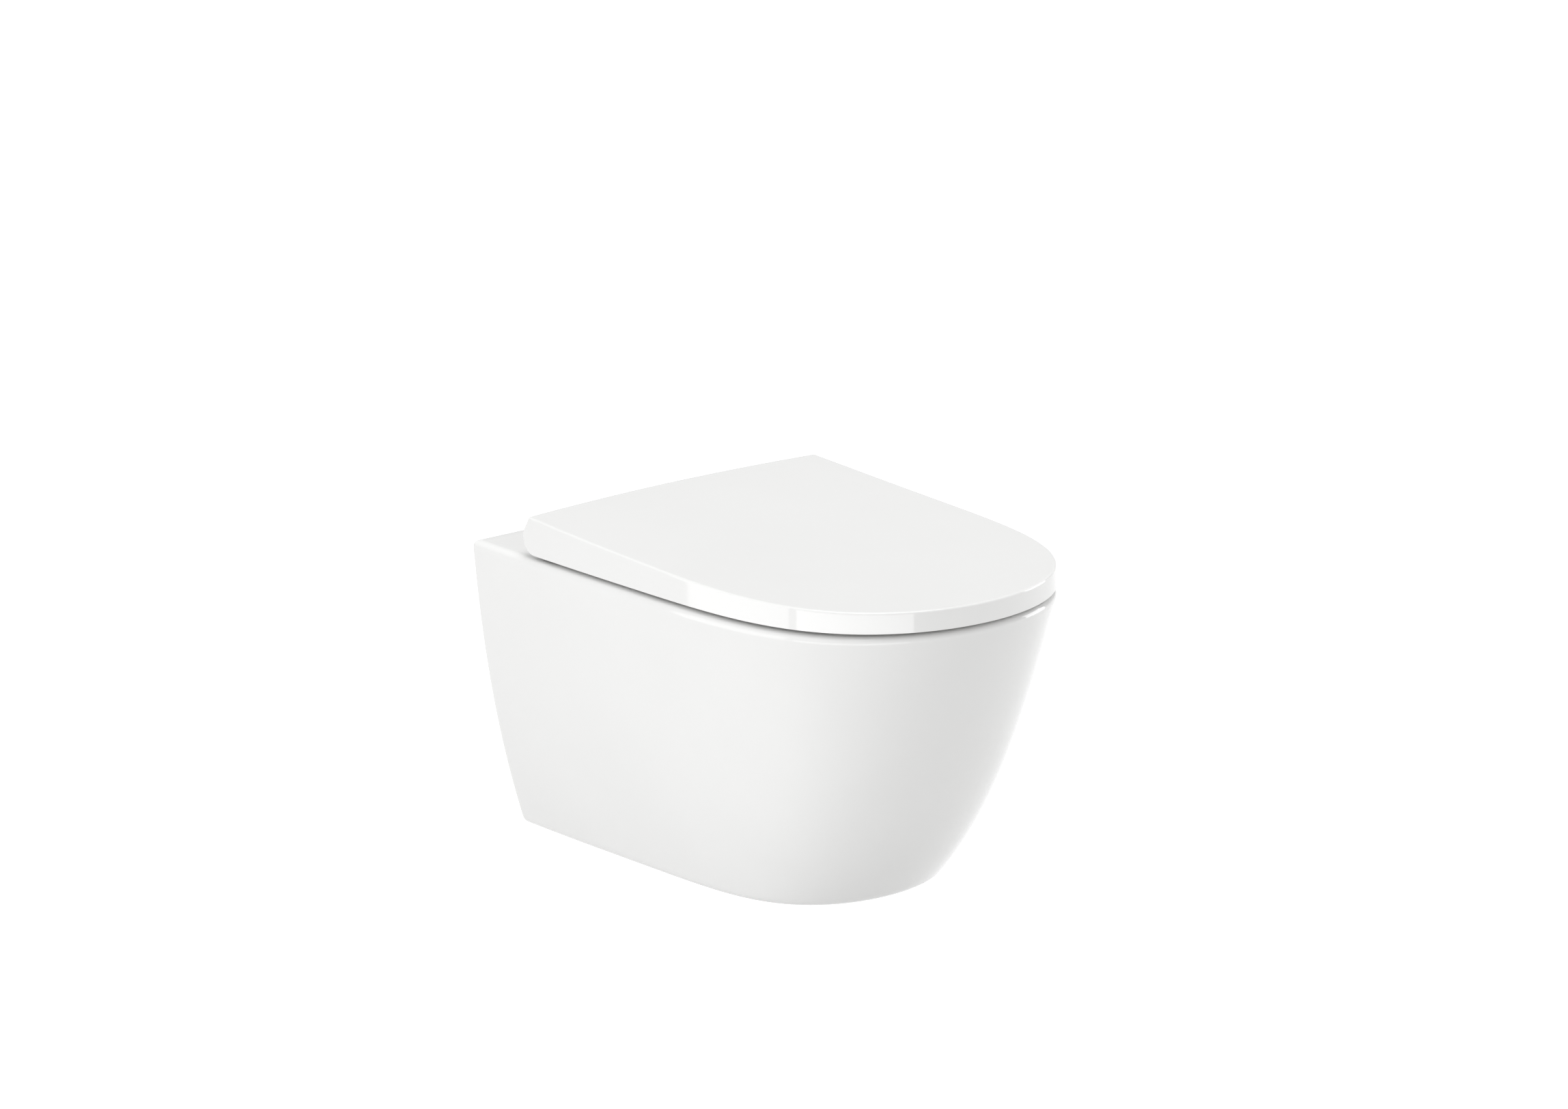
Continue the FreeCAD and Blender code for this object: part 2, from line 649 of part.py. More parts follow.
def pan_shape():
    """The casting: skin and bowl, trap, pipes and fixing channels in one piece of china."""
    outside = outer_skin()
    inlet = size.inlet_above_studs
    outlet = -size.outlet_below_studs
    duct_end = size.mouth_back + size.ledge + size.distributor_reach
    china = outside.cut(rear_hollow())
    inside = [
        bowl_form(size.bowl_wall),
        trap_tube(size.trap_bore / 2 + size.trap_wall).common(slab(size.outlet_depth, size.pan_length)),
        bar(size.inlet_bore / 2 + size.duct_wall, (0, 0, inlet), (0, -size.inlet_depth - size.duct_wall, inlet)),
        bar(size.duct_bore / 2 + size.duct_wall, (0, -size.inlet_depth, inlet), (0, -size.mouth_back, inlet)),
        bar(size.outlet_outer / 2, (0, 0, outlet), (0, -size.outlet_depth - size.trap_wall, outlet)),
    ]
    space = [
        bowl_form(0),
        trap_tube(size.trap_bore / 2),
        bar(size.outlet_bore / 2, (0, OVERSHOOT, outlet), (0, -size.outlet_depth, outlet)),
        bar(size.inlet_bore / 2, (0, OVERSHOOT, inlet), (0, -size.inlet_depth, inlet)),
        bar(size.duct_bore / 2, (0, 0, inlet), (0, -duct_end, inlet)),
    ]
    for name, side in SIDES:
        x = side * size.stud_spacing / 2
        bore = size.channel_bore / 2
        shell = bore + size.channel_wall
        inside.append(bar(shell, (x, 0, 0), (x, -size.channel_depth - size.channel_wall, 0)))
        space.append(bar(bore, (x, OVERSHOOT, 0), (x, -size.channel_depth, 0)))
        web = sorted((x, side * size.pan_width))
        half_web = size.channel_web / 2
        depth = size.channel_depth + size.channel_wall
        inside.append(box_between((web[0], -depth, -half_web), (web[1], 0, half_web)))
        screw_hole = size.lock_thread / 2 + size.lock_hole_gap
        space.append(bar(screw_hole, (x, -size.lock_place, 0), (x, -size.lock_place, -shell - OVERSHOOT)))
        key = (x, -size.lock_place, PAN_BOTTOM - OVERSHOOT)
        space.append(bar(size.key_hole / 2, key, (x, -size.lock_place, PAN_BOTTOM + size.flange_width)))
        hinge_x = side * size.hinge_spacing / 2
        under_deck = size.rim_height - size.deck_thick - OVERSHOOT
        above_deck = size.rim_height + OVERSHOOT
        space.append(bar(size.deck_hole / 2, (hinge_x, -size.hinge_place, under_deck),
                         (hinge_x, -size.hinge_place, above_deck)))
    china = china.fuse([part.common(outside) for part in inside])
    china = china.cut(space)
    return solid_of(china)


def solid_of(shape):
    """The one solid of a boolean's result."""
    if len(shape.Solids) != 1:
        raise RuntimeError(f"expected one solid and got {len(shape.Solids)}")
    return shape.Solids[0]


free_form("pan", pan_shape())

# ---------------------------------------------------------------- flush distributor


def flush_distributor():
    """A moulded tube in the duct; its nose opens left, right and down into the bowl."""
    radius = "(duct_bore / 2 - distributor_gap)"
    nose = "(mouth_back + distributor_reach)"
    height = "inlet_above_studs"
    length = f"{nose} - distributor_start"
    tube = rod("distributor_tube", radius, length, ("0", "-distributor_start", height), TOWARDS_FRONT)
    bore = rod(
        "distributor_bore",
        f"{radius} - distributor_wall",
        f"{length} - distributor_lip + {OVERSHOOT}",
        ("0", f"-distributor_start + {OVERSHOOT}", height),
        TOWARDS_FRONT,
    )
    window_back = "-(mouth_back + distributor_gap)"
    window_front = f"-({nose} - distributor_lip)"
    spouts = block(
        "side_spouts",
        ("-duct_bore", window_front, f"{height} - spout_height / 2"),
        ("duct_bore", window_back, f"{height} + spout_height / 2"),
    )
    lower = block(
        "lower_spout",
        ("-spout_height / 2", window_front, f"{height} - duct_bore"),
        ("spout_height / 2", window_back, height),
    )
    return piece("flush_distributor", cut("distributor_body", tube, bore, spouts, lower))


flush_distributor()

# ---------------------------------------------------------------- concealed wall fixing


def wall_fixing(name, side):
    """A nylon block that slides over the stud and the screw that locks the pan on it from below."""
    x = f"{side} * stud_spacing / 2"
    body = rod("block_round", "channel_bore / 2 - block_gap", "block_length", (x, "0", "0"), TOWARDS_FRONT)
    reach = f"block_length + {2 * OVERSHOOT}"
    stud = rod("stud_way", "stud_hole / 2", reach, (x, f"{OVERSHOOT}", "0"), TOWARDS_FRONT)
    low = "-(channel_bore / 2 + channel_wall)"
    thread = rod("lock_way", "lock_thread / 2 + screw_gap", f"-({low})", (x, "-lock_place", low))
    piece("fixing_block_" + name, cut("fixing_block_body", body, stud, thread))

    under = f"{low} - lock_head_height"
    head = rod("lock_head_round", "lock_head / 2", "lock_head_height", (x, "-lock_place", under))
    shank = rod("lock_shank", "lock_thread / 2", "lock_length", (x, "-lock_place", low))
    socket = primitive(
        "Prism",
        "lock_socket_form",
        {"Circumradius": "lock_socket / 2 / cos(30 deg)", "Height": f"lock_socket_depth + {OVERSHOOT}"},
        (x, "-lock_place", f"{under} - {OVERSHOOT}"),
    )
    piece("locking_screw_" + name, cut("locking_screw_body", fused("locking_screw_solid", head, shank), socket))


# ---------------------------------------------------------------- seat fixings


def seat_fixing(name, side):
    """From the deck up: washer, steel base and post; below it: rubber sleeve, cone nut and screw."""
    x = f"{side} * hinge_spacing / 2"
    hole = "(fixing_thread / 2 + screw_gap)"
    gasket = (
        (hole, "0"),
        ("gasket_outer / 2", "0"),
        ("gasket_outer / 2", "gasket_thick"),
        (hole, "gasket_thick"),
    )
    piece("base_gasket_" + name, turned("gasket", gasket, (x, AXIS_Y, "rim_height")))
    base = (
        (hole, "0"),
        ("base_outer / 2", "0"),
        ("base_outer / 2", "base_thick / 2"),
        ("base_outer / 2 - base_thick / 2", "base_thick"),
        (hole, "base_thick"),
    )
    piece("hinge_base_" + name, turned("base", base, (x, AXIS_Y, "rim_height + gasket_thick")))
    post = (
        (hole, "0"),
        ("post_outer / 2", "0"),
        ("post_outer / 2", "neck_low"),
        ("post_neck / 2", "neck_low"),
        ("post_neck / 2", "neck_high"),
        ("post_outer / 2", "neck_high"),
        ("post_outer / 2", "post_height - post_chamfer"),
        ("post_outer / 2 - post_chamfer", "post_height"),
        ("fixing_head / 2 + screw_gap", "post_height"),
        (hole, "post_height - fixing_head_height"),
    )
    piece("hinge_post_" + name, turned("post", post, (x, AXIS_Y, BASE_TOP)))

    bottom = f"({BASE_TOP} + post_height - fixing_head_height)"
    head = primitive(
        "Cone",
        "fixing_head_cone",
        {"Radius1": "fixing_thread / 2", "Radius2": "fixing_head / 2", "Height": "fixing_head_height"},
        (x, AXIS_Y, bottom),
    )
    shank = rod("fixing_shank", "fixing_thread / 2", "fixing_length", (x, AXIS_Y, f"{bottom} - fixing_length"))
    socket = primitive(
        "Prism",
        "fixing_socket",
        {"Circumradius": "drive_socket / 2 / cos(30 deg)", "Height": f"drive_depth + {OVERSHOOT}"},
        (x, AXIS_Y, f"{bottom} + fixing_head_height - drive_depth"),
    )
    piece("hinge_screw_" + name, cut("hinge_screw_body", fused("hinge_screw_solid", head, shank), socket))

    sleeve = (
        ("sleeve_mouth / 2", "0"),
        ("sleeve_outer / 2", "0"),
        ("sleeve_outer / 2", "sleeve_length"),
        ("sleeve_bore / 2", "sleeve_length"),
        ("sleeve_bore / 2", "sleeve_flare"),
    )
    sleeve_bottom = "(rim_height - sleeve_length)"
    piece("expansion_sleeve_" + name, turned("sleeve", sleeve, (x, AXIS_Y, sleeve_bottom)))
    narrowing = "((sleeve_mouth - sleeve_bore) / 2 * cone_entry / sleeve_flare)"
    nut = (
        (hole, "0"),
        ("sleeve_mouth / 2", "0"),
        ("sleeve_mouth / 2", "cone_length - cone_entry - cone_gap"),
        ("sleeve_mouth / 2 - cone_gap", "cone_length - cone_entry"),
        (f"sleeve_mouth / 2 - cone_gap - {narrowing}", "cone_length"),
        (hole, "cone_length"),
    )
    piece("cone_nut_" + name, turned("nut", nut, (x, AXIS_Y, f"{sleeve_bottom} - cone_length + cone_entry")))


# ---------------------------------------------------------------- hinge housings


def hinge_housing(name, side):
    """A moulded block over the post: the damper's bore above, the latch and its button below."""
    x = f"({side} * hinge_spacing / 2)"
    low, high = ("housing_inner", "housing_outer") if side > 0 else ("-housing_outer", "-housing_inner")
    floor = f"({BASE_TOP} + housing_lift)"
    barrel = cross_rod("housing_barrel", "housing_round", "housing_inner", "housing_outer", side)
    foot = block("housing_foot", (low, f"{AXIS_Y} - housing_round", floor), (high, f"{AXIS_Y} + foot_rear", AXIS_Z))
    damper_end = f"housing_outer + {OVERSHOOT}"
    damper_way = cross_rod(
        "damper_way", "damper_outer / 2 + running_gap", "housing_outer - damper_length", damper_end, side
    )
    socket_top = f"({BASE_TOP} + post_height + housing_lift)"
    socket = rod(
        "post_socket", "post_outer / 2 + socket_gap", f"{socket_top} - {BASE_TOP}", (x, AXIS_Y, BASE_TOP)
    )
    half_slot = "(button_width / 2 + button_gap)"
    latch_low = f"({BASE_TOP} + (neck_low + neck_high - latch_thick) / 2)"
    slot = block(
        "latch_slot",
        (f"{x} - {half_slot}", f"{AXIS_Y} - {LATCH_FRONT} - button_travel - button_gap", f"{latch_low} - button_gap"),
        (f"{x} + {half_slot}", f"{AXIS_Y} + foot_rear", f"{latch_low} + latch_thick + button_gap"),
    )
    middle = f"({latch_low} + latch_thick / 2)"
    half_high = "(button_height / 2 + button_gap)"
    window = block(
        "button_window",
        (f"{x} - {half_slot}", f"{AXIS_Y} + foot_rear - {BUTTON_ROOM}", f"{middle} - {half_high}"),
        (f"{x} + {half_slot}", f"{AXIS_Y} + foot_rear + {OVERSHOOT}", f"{middle} + {half_high}"),
    )
    spring_start = f"{AXIS_Y} - {LATCH_FRONT}"
    pocket = rod(
        "spring_pocket",
        "spring_outer / 2 + button_gap",
        "spring_room",
        (x, spring_start, middle),
        TOWARDS_FRONT,
    )
    body = fused("housing_solid", barrel, foot)
    piece("hinge_housing_" + name, cut("housing_body", body, damper_way, socket, slot, window, pocket))

    head = block(
        "button_head",
        (f"{x} - button_width / 2", f"{AXIS_Y} + foot_rear - button_inset", f"{middle} - button_height / 2"),
        (f"{x} + button_width / 2", f"{AXIS_Y} + foot_rear + button_proud", f"{middle} + button_height / 2"),
    )
    plate = block(
        "latch_plate",
        (f"{x} - button_width / 2", f"{AXIS_Y} - {LATCH_FRONT}", latch_low),
        (f"{x} + button_width / 2", f"{AXIS_Y} + foot_rear - button_inset", f"{latch_low} + latch_thick"),
    )
    eye_radius = "(post_outer / 2 + latch_gap)"
    eye_height = f"latch_thick + {2 * OVERSHOOT}"
    eye_low = f"{latch_low} - {OVERSHOOT}"
    eye = rod("latch_eye", eye_radius, eye_height, (x, AXIS_Y, eye_low))
    eye_end = rod("latch_eye_end", eye_radius, eye_height, (x, f"{AXIS_Y} + button_travel", eye_low))
    eye_middle = block(
        "latch_eye_middle",
        (f"{x} - {eye_radius}", AXIS_Y, eye_low),
        (f"{x} + {eye_radius}", f"{AXIS_Y} + button_travel", f"{eye_low} + {eye_height}"),
    )
    button = fused("button_solid", head, plate)
    piece("release_button_" + name, cut("button_body", button, eye, eye_end, eye_middle))

    damper = cross_rod("damper_barrel", "damper_outer / 2", "housing_outer - damper_length", "housing_outer", side)
    shaft_way = cross_rod(
        "shaft_way", "shaft_outer / 2 + running_gap", "housing_outer - shaft_entry", damper_end, side
    )
    piece(DAMPER_NAMES[name], cut("damper_body", damper, shaft_way))
    latch_spring(name, x, spring_start, middle)


def latch_spring(name, x, start, height):
    """A compression spring that pushes the latch and its button back."""
    coil = doc.addObject("Part::Helix", "spring_line")
    coil.setExpression("Radius", bound("(spring_outer - spring_wire) / 2"))
    coil.setExpression("Height", bound("spring_room - spring_wire - spring_end_gap"))
    coil.setExpression("Pitch", bound("(spring_room - spring_wire - spring_end_gap) / spring_turns"))
    ring = doc.addObject("Part::Circle", "spring_section")
    ring.setExpression("Radius", bound("spring_wire / 2"))
    ring.Placement = FreeCAD.Placement(Vector(), TOWARDS_FRONT)
    ring.setExpression("Placement.Base.x", bound("(spring_outer - spring_wire) / 2"))
    wound = doc.addObject("Part::Sweep", "spring_coil")
    wound.Sections = [ring]
    wound.Spine = (coil, [])
    wound.Solid = True
    wound.Frenet = True
    wound.Placement = FreeCAD.Placement(Vector(), TOWARDS_FRONT)
    place(wound, (x, f"{start} - spring_wire / 2 - spring_end_gap / 2", height))
    piece("latch_spring_" + name, wound)


for side_name, sign in SIDES:
    wall_fixing(side_name, sign)
    seat_fixing(side_name, sign)
    hinge_housing(side_name, sign)

# ---------------------------------------------------------------- seat

SEAT_LOW = size.rim_height + size.seat_lift
SEAT_HIGH = SEAT_LOW + size.seat_thick
LID_LOW = size.rim_height + size.lid_gap
AXIS_DEPTH = size.hinge_place
AXIS_HEIGHT = size.rim_height + size.hinge_height
LID_HALF = size.pan_width / 2 - size.lid_margin
SEAT_BUFFER_PLACES = [(side * size.buffer_side, size.buffer_rear) for name, side in SIDES]
SEAT_BUFFER_PLACES += [(side * size.buffer_front_side, size.buffer_front) for name, side in SIDES]


def seat_outline(height, inset=0.0):
    """The seat's outline: the lid's inside less a margin."""
    edge = size.lid_wall + size.seat_margin + inset
    return horseshoe(
        LID_HALF - edge,
        size.pan_length - edge,
        size.rim_shoulder,
        size.rim_squareness,
        size.rim_taper,
        height,
        size.seat_rear + inset,
        max(size.seat_corner - inset, LEAST_CORNER),
    )


def seat_hole(height, grow=0.0):
    """The outline of the seat's opening."""
    front = size.pan_length - size.seat_hole_front + grow
    return oval(size.seat_hole_width / 2 + grow, front, size.seat_hole_widest, size.seat_hole_back - grow, height)


def ring_layers(outline, rounding, low_round, high_round):
    """The outline raised from the seat's underside to its top; roundings move it in or out."""
    low = SEAT_LOW + low_round
    high = SEAT_HIGH - high_round
    foot = loft([outline(low - rise, inset) for inset, rise in rounding(low_round)][::-1])
    top = loft([outline(high + rise, inset) for inset, rise in rounding(high_round)])
    return stacked(foot, loft([outline(low, 0.0), outline(high, 0.0)]), top)


def axis_bar(radius, start, end):
    """A round bar on the hinge axis between two places across the seat."""
    low, high = sorted((start, end))
    return bar(radius, (low, -AXIS_DEPTH, AXIS_HEIGHT), (high, -AXIS_DEPTH, AXIS_HEIGHT))


def seat_shape():
    """A ring with rounded edges and two hinge knuckles behind it."""
    seat = ring_layers(seat_outline, quarter_round, size.seat_lower_round, size.seat_outer_round)
    seat = seat.cut(ring_layers(seat_hole, flare, size.seat_lower_round, size.seat_inner_round))
    bush = size.shaft_outer / 2 + size.running_gap + size.bush_wall
    holes = []
    for name, side in SIDES:
        low, high = sorted((side * size.seat_knuckle_start, side * size.seat_knuckle_end))
        web_low = (low, -size.seat_rear - size.seat_corner, SEAT_LOW)
        web = box_between(web_low, (high, -AXIS_DEPTH, SEAT_HIGH))
        seat = seat.fuse([web, axis_bar(size.knuckle_round, low, high)])
        holes.append(axis_bar(bush + size.running_gap, low - OVERSHOOT, high + OVERSHOOT))
    for x, depth in SEAT_BUFFER_PLACES:
        top = SEAT_LOW + size.buffer_stem_length + size.buffer_gap
        stem = size.buffer_stem / 2 + size.running_gap
        holes.append(bar(stem, (x, -depth, SEAT_LOW - OVERSHOOT), (x, -depth, top)))
    return solid_of(seat.cut(holes))


free_form("seat_ring", seat_shape())


def seat_buffers():
    """Four rubber feet with stems that plug into the seat's underside."""
    feet = []
    for across, depth in (("buffer_side", "buffer_rear"), ("buffer_front_side", "buffer_front")):
        for name, side in SIDES:
            spot = (f"{side} * {across}", f"-{depth}", "rim_height + buffer_gap")
            pad = rod("buffer_pad", "buffer_across / 2", "seat_lift - buffer_gap", spot)
            stem = rod("buffer_stem_rod", "buffer_stem / 2", "buffer_stem_length", (spot[0], spot[1], SEAT_BOTTOM))
            feet.append(fused("seat_buffer", pad, stem))
    return group("seat_buffers", feet)


seat_buffers()

# ---------------------------------------------------------------- lid


def lid_outline(height, inset=0.0):
    """The lid's outline; its side leans in towards the top. It runs on behind the lid's rear."""
    edge = inset + size.lid_draft * (height - LID_LOW) / size.lid_rear_height
    return horseshoe(
        LID_HALF - edge,
        size.pan_length - edge,
        size.rim_shoulder,
        size.rim_squareness,
        size.rim_taper,
        height,
        size.lid_rear * LID_OUTLINE_START,
    )


def lid_top(x, depth):
    """Height of the lid's upper face: rising in a curve to the rear, slightly crowned there."""
    back = max((size.pan_length - depth) / (size.pan_length - size.lid_rear), 0.0)
    rise = size.lid_front_height + (size.lid_rear_height - size.lid_front_height) * back**size.lid_slope_curl
    return LID_LOW + rise + size.lid_crown * middle_share(x) * min(back, 1.0)


def middle_share(x):
    """1 in the middle of the lid and 0 at its sides."""
    return 1 - (x / LID_HALF) ** 2


def lid_section(x, wall):
    """The lid's side view at one place across it, drawn in by a wall's thickness.

    From below: an arc about the hinge axis, a straight rear face that touches it, the upper face,
    and a front beyond the outline. The inner form runs on below the lid, so that it opens it.
    """
    corner_depth = size.lid_rear - size.lid_bow * middle_share(x) + wall / 2
    corner_height = lid_top(x, corner_depth) - wall
    back = AXIS_DEPTH - corner_depth
    up = corner_height - AXIS_HEIGHT
    radius = size.lid_arc - wall
    touch = math.atan2(up, back) - math.acos(radius / math.hypot(back, up))

    def at(depth, height):
        return Vector(x, -depth, height)

    def on_arc(angle):
        return at(AXIS_DEPTH - radius * math.cos(angle), AXIS_HEIGHT + radius * math.sin(angle))

    corner = at(corner_depth, corner_height)
    front = size.pan_length + OVERSHOOT
    tops = []
    for step in range(LID_STEPS + 1):
        depth = corner_depth + (front - corner_depth) * step / LID_STEPS
        tops.append(at(depth, lid_top(x, depth) - wall))
    upper = Part.BSplineCurve()
    upper.interpolate(Points=tops, Parameters=[float(step) for step in range(LID_STEPS + 1)])
    bottom = on_arc(-math.pi / 2)
    floor = bottom.z if wall == 0 else LID_LOW - OVERSHOOT
    edges = [
        Part.Arc(bottom, on_arc((touch - math.pi / 2) / 2), on_arc(touch)).toShape(),
        Part.makeLine(on_arc(touch), corner),
        upper.toShape(),
        Part.makeLine(tops[-1], at(front, floor)),
        Part.makeLine(at(front, floor), at(AXIS_DEPTH, floor)),
    ]
    if wall > 0:
        edges.append(Part.makeLine(at(AXIS_DEPTH, floor), bottom))
    return Part.Wire(edges)


def lid_form(wall):
    """The lid's outside, or with a wall its inside."""
    places = [LID_HALF * step / LID_SECTIONS for step in range(-LID_SECTIONS, LID_SECTIONS + 1)]
    side_view = loft([lid_section(x, wall) for x in places])
    low = LID_LOW - (OVERSHOOT if wall > 0 else 0)
    high = LID_LOW + 2 * size.lid_rear_height
    return side_view.common(loft([lid_outline(low, wall), lid_outline(high, wall)]))


def lid_shape():
    """A shell with hinge knuckles, ribs and bosses, notched where the hinge housings stand."""
    lid = lid_form(0.0)
    upper = [edge for edge in lid.Edges if is_upper_edge(edge)]
    lid = lid.makeFillet(size.lid_round, upper)
    inside = lid_form(size.lid_wall)
    lid = lid.cut(inside)
    extra, space = [], []
    for name, side in SIDES:
        inner = side * size.lid_knuckle_start
        outer = side * size.lid_knuckle_end
        low, high = sorted((inner, outer))
        half_rib = size.lid_rib / 2
        top = lid_top(0, AXIS_DEPTH) - size.lid_wall / 2
        extra.append(axis_bar(size.lid_knuckle_round, inner, outer))
        rib = box_between((low, -AXIS_DEPTH - half_rib, AXIS_HEIGHT), (high, -AXIS_DEPTH + half_rib, top))
        extra.append(rib.common(lid_form(0.0)))
        shaft = size.shaft_outer / 2 + size.running_gap
        space.append(axis_bar(shaft, inner - side * OVERSHOOT, outer))
        start = side * (size.housing_inner - size.notch_gap)
        space.append(axis_bar(size.housing_round + size.barrel_gap, start, inner))
        rear = slab(0, AXIS_DEPTH - size.notch_back)
        space.append(axis_bar(size.notch_round, start, inner).common(rear))
        low, high = sorted((start, inner))
        space.append(box_between((low, -AXIS_DEPTH, size.rim_height), (high, 0, AXIS_HEIGHT)))
        x = side * size.lid_buffer_side
        boss_low = SEAT_HIGH + size.buffer_gap + size.lid_buffer_thick
        boss_high = LID_LOW + size.lid_front_height - size.lid_wall / 2
        depth = size.lid_buffer_front
        boss = size.lid_buffer_across / 2 + size.lid_boss_margin
        extra.append(bar(boss, (x, -depth, boss_low), (x, -depth, boss_high)))
        stem_top = boss_low + size.lid_buffer_stem + size.running_gap
        stem = size.lid_buffer_stem_across / 2 + size.running_gap
        space.append(bar(stem, (x, -depth, boss_low - OVERSHOOT), (x, -depth, stem_top)))
    return solid_of(lid.fuse(extra).cut(space))


def is_upper_edge(edge):
    """True for the edges round the lid's upper face."""
    middle = edge.valueAt((edge.FirstParameter + edge.LastParameter) / 2)
    return abs(middle.z - lid_top(middle.x, -middle.y)) < TOP_TOLERANCE and edge.Length > size.lid_wall


free_form("lid", lid_shape())


def lid_buffers():
    """Two rubber pads under the front of the lid."""
    pads = []
    low = f"({SEAT_BOTTOM} + seat_thick + buffer_gap)"
    for name, side in SIDES:
        spot = (f"{side} * lid_buffer_side", "-lid_buffer_front", low)
        pad = rod("lid_pad", "lid_buffer_across / 2", "lid_buffer_thick", spot)
        stem_low = f"{low} + lid_buffer_thick"
        stem = rod("lid_pad_stem", "lid_buffer_stem_across / 2", "lid_buffer_stem", (spot[0], spot[1], stem_low))
        pads.append(fused("lid_buffer", pad, stem))
    return group("lid_buffers", pads)


lid_buffers()

# ---------------------------------------------------------------- hinge axis


def hinge_axis():
    """The left shaft turns with the lid, the right one with the seat; the lid's other end runs on a pin."""
    shaft = "shaft_outer / 2"
    start = "(housing_outer - shaft_entry + running_gap)"
    halfway = "((seat_knuckle_start + seat_knuckle_end) / 2)"
    for name, side in SIDES:
        bush = f"{shaft} + running_gap + bush_wall"
        outside = cross_rod("bush_outside", bush, "seat_knuckle_start", "seat_knuckle_end", side)
        inside = cross_rod(
            "bush_bore",
            f"{shaft} + running_gap",
            f"seat_knuckle_start - {OVERSHOOT}",
            f"seat_knuckle_end + {OVERSHOOT}",
            side,
        )
        piece("hinge_bush_" + name, cut("hinge_bush_body", outside, inside))
    piece("lid_damper_shaft", cross_rod("lid_shaft", shaft, start, "lid_knuckle_end", -1))
    piece("seat_damper_shaft", cross_rod("seat_shaft", shaft, start, f"{halfway} - pin_gap / 2", 1))
    piece("lid_pivot_pin", cross_rod("lid_pin", shaft, f"{halfway} + pin_gap / 2", "lid_knuckle_end", 1))


hinge_axis()

# ---------------------------------------------------------------- check and write

doc.recompute()
failed = [thing.Name for thing in doc.Objects if "Invalid" in thing.State or "Error" in thing.State]
failed += [label for label, thing in pieces.items() if thing.Shape.isNull() or not thing.Shape.isValid()]
if failed:
    raise RuntimeError("these objects failed: " + ", ".join(failed))
os.makedirs("parts", exist_ok=True)
for label, thing in pieces.items():
    thing.Shape.exportStep(os.path.join("parts", label + ".step"))
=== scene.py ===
"""Looks for a wall hung toilet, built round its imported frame.

Every new piece is a surface worked out with numpy in millimetres and written to its mesh in metres.
+X is right seen from the front, +Y goes into the wall, +Z is up; "depth" is the distance from the
wall, so depth = -y. The origin lies midway between the two wall studs.
"""

import math

import bmesh
import bpy
import numpy as np
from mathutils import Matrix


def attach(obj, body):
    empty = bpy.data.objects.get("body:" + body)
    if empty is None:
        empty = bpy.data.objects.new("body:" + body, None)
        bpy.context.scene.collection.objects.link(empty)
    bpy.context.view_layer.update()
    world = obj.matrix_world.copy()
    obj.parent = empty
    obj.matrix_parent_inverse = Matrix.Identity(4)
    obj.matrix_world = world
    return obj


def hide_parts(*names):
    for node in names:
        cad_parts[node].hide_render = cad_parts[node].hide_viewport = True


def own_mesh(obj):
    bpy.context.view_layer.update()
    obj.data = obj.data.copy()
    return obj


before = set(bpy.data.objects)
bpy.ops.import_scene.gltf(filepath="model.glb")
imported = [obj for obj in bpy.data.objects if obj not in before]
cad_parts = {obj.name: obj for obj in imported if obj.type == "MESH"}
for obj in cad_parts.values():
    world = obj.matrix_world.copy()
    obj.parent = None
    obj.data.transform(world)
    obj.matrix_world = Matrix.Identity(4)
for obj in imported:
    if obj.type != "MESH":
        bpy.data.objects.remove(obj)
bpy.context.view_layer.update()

MM = 0.001
SIDES = (("left", -1), ("right", 1))
RIM = 80.0  # rim above the wall studs
PAN_HEIGHT = 289.0
PAN_BOTTOM = RIM - PAN_HEIGHT
HINGE_DEPTH = 91.5  # wall to the hinge axis
HINGE_HEIGHT = RIM + 19.0
HINGE_SIDE = 77.5  # middle to each seat fixing
STUD_SIDE = 90.0  # middle to each wall stud
LOCK_DEPTH = 42.0  # wall to the screws that lock the pan on its studs
LEAST_CORNER = 1.0  # plan corners are never sharper


# ---------------- meshes from rings of points


def rings_mesh(name, rings, start_cap=None, end_cap=None, tube=False):
    """A closed mesh from an array of rings, shape (rings, points round, 3), in millimetres.

    Neighbouring rings are joined by quads. A cap is the point that closes an end as a fan; with
    tube the last ring joins the first. The faces are turned outwards if they enclose less than nothing.
    """
    count, around, _ = rings.shape
    number = np.arange(count * around).reshape(count, around)
    low = number if tube else number[:-1]
    high = np.roll(number, -1, 0) if tube else number[1:]
    quads = np.stack([low, np.roll(low, -1, 1), np.roll(high, -1, 1), high], -1).reshape(-1, 4)
    points = rings.reshape(-1, 3)
    fans = []
    for cap, ring, turn in ((start_cap, number[0], -1), (end_cap, number[-1], 1)):
        if cap is not None:
            tip = np.full(around, len(points))
            points = np.vstack([points, np.asarray(cap, float)])
            fans.append(np.stack([ring, np.roll(ring, -1), tip], -1)[:, ::turn])
    faces = [quads] + fans
    if enclosed(points, faces) < 0:
        faces = [face[:, ::-1] for face in faces]
    return new_mesh(name, points, faces)


def capped(name, rings):
    """A closed mesh whose two ends are fans from the middles of their rings."""
    return rings_mesh(name, rings, rings[0].mean(0), rings[-1].mean(0))


def enclosed(points, faces):
    """Six times the volume that the faces enclose: the sum of each triangle's triple product."""
    middle = points.mean(0)
    total = 0.0
    for face in faces:
        for second in range(1, face.shape[1] - 1):
            a, b, c = (points[face[:, index]] - middle for index in (0, second, second + 1))
            total += np.einsum("ij,ij->i", a, np.cross(b, c)).sum()
    return total


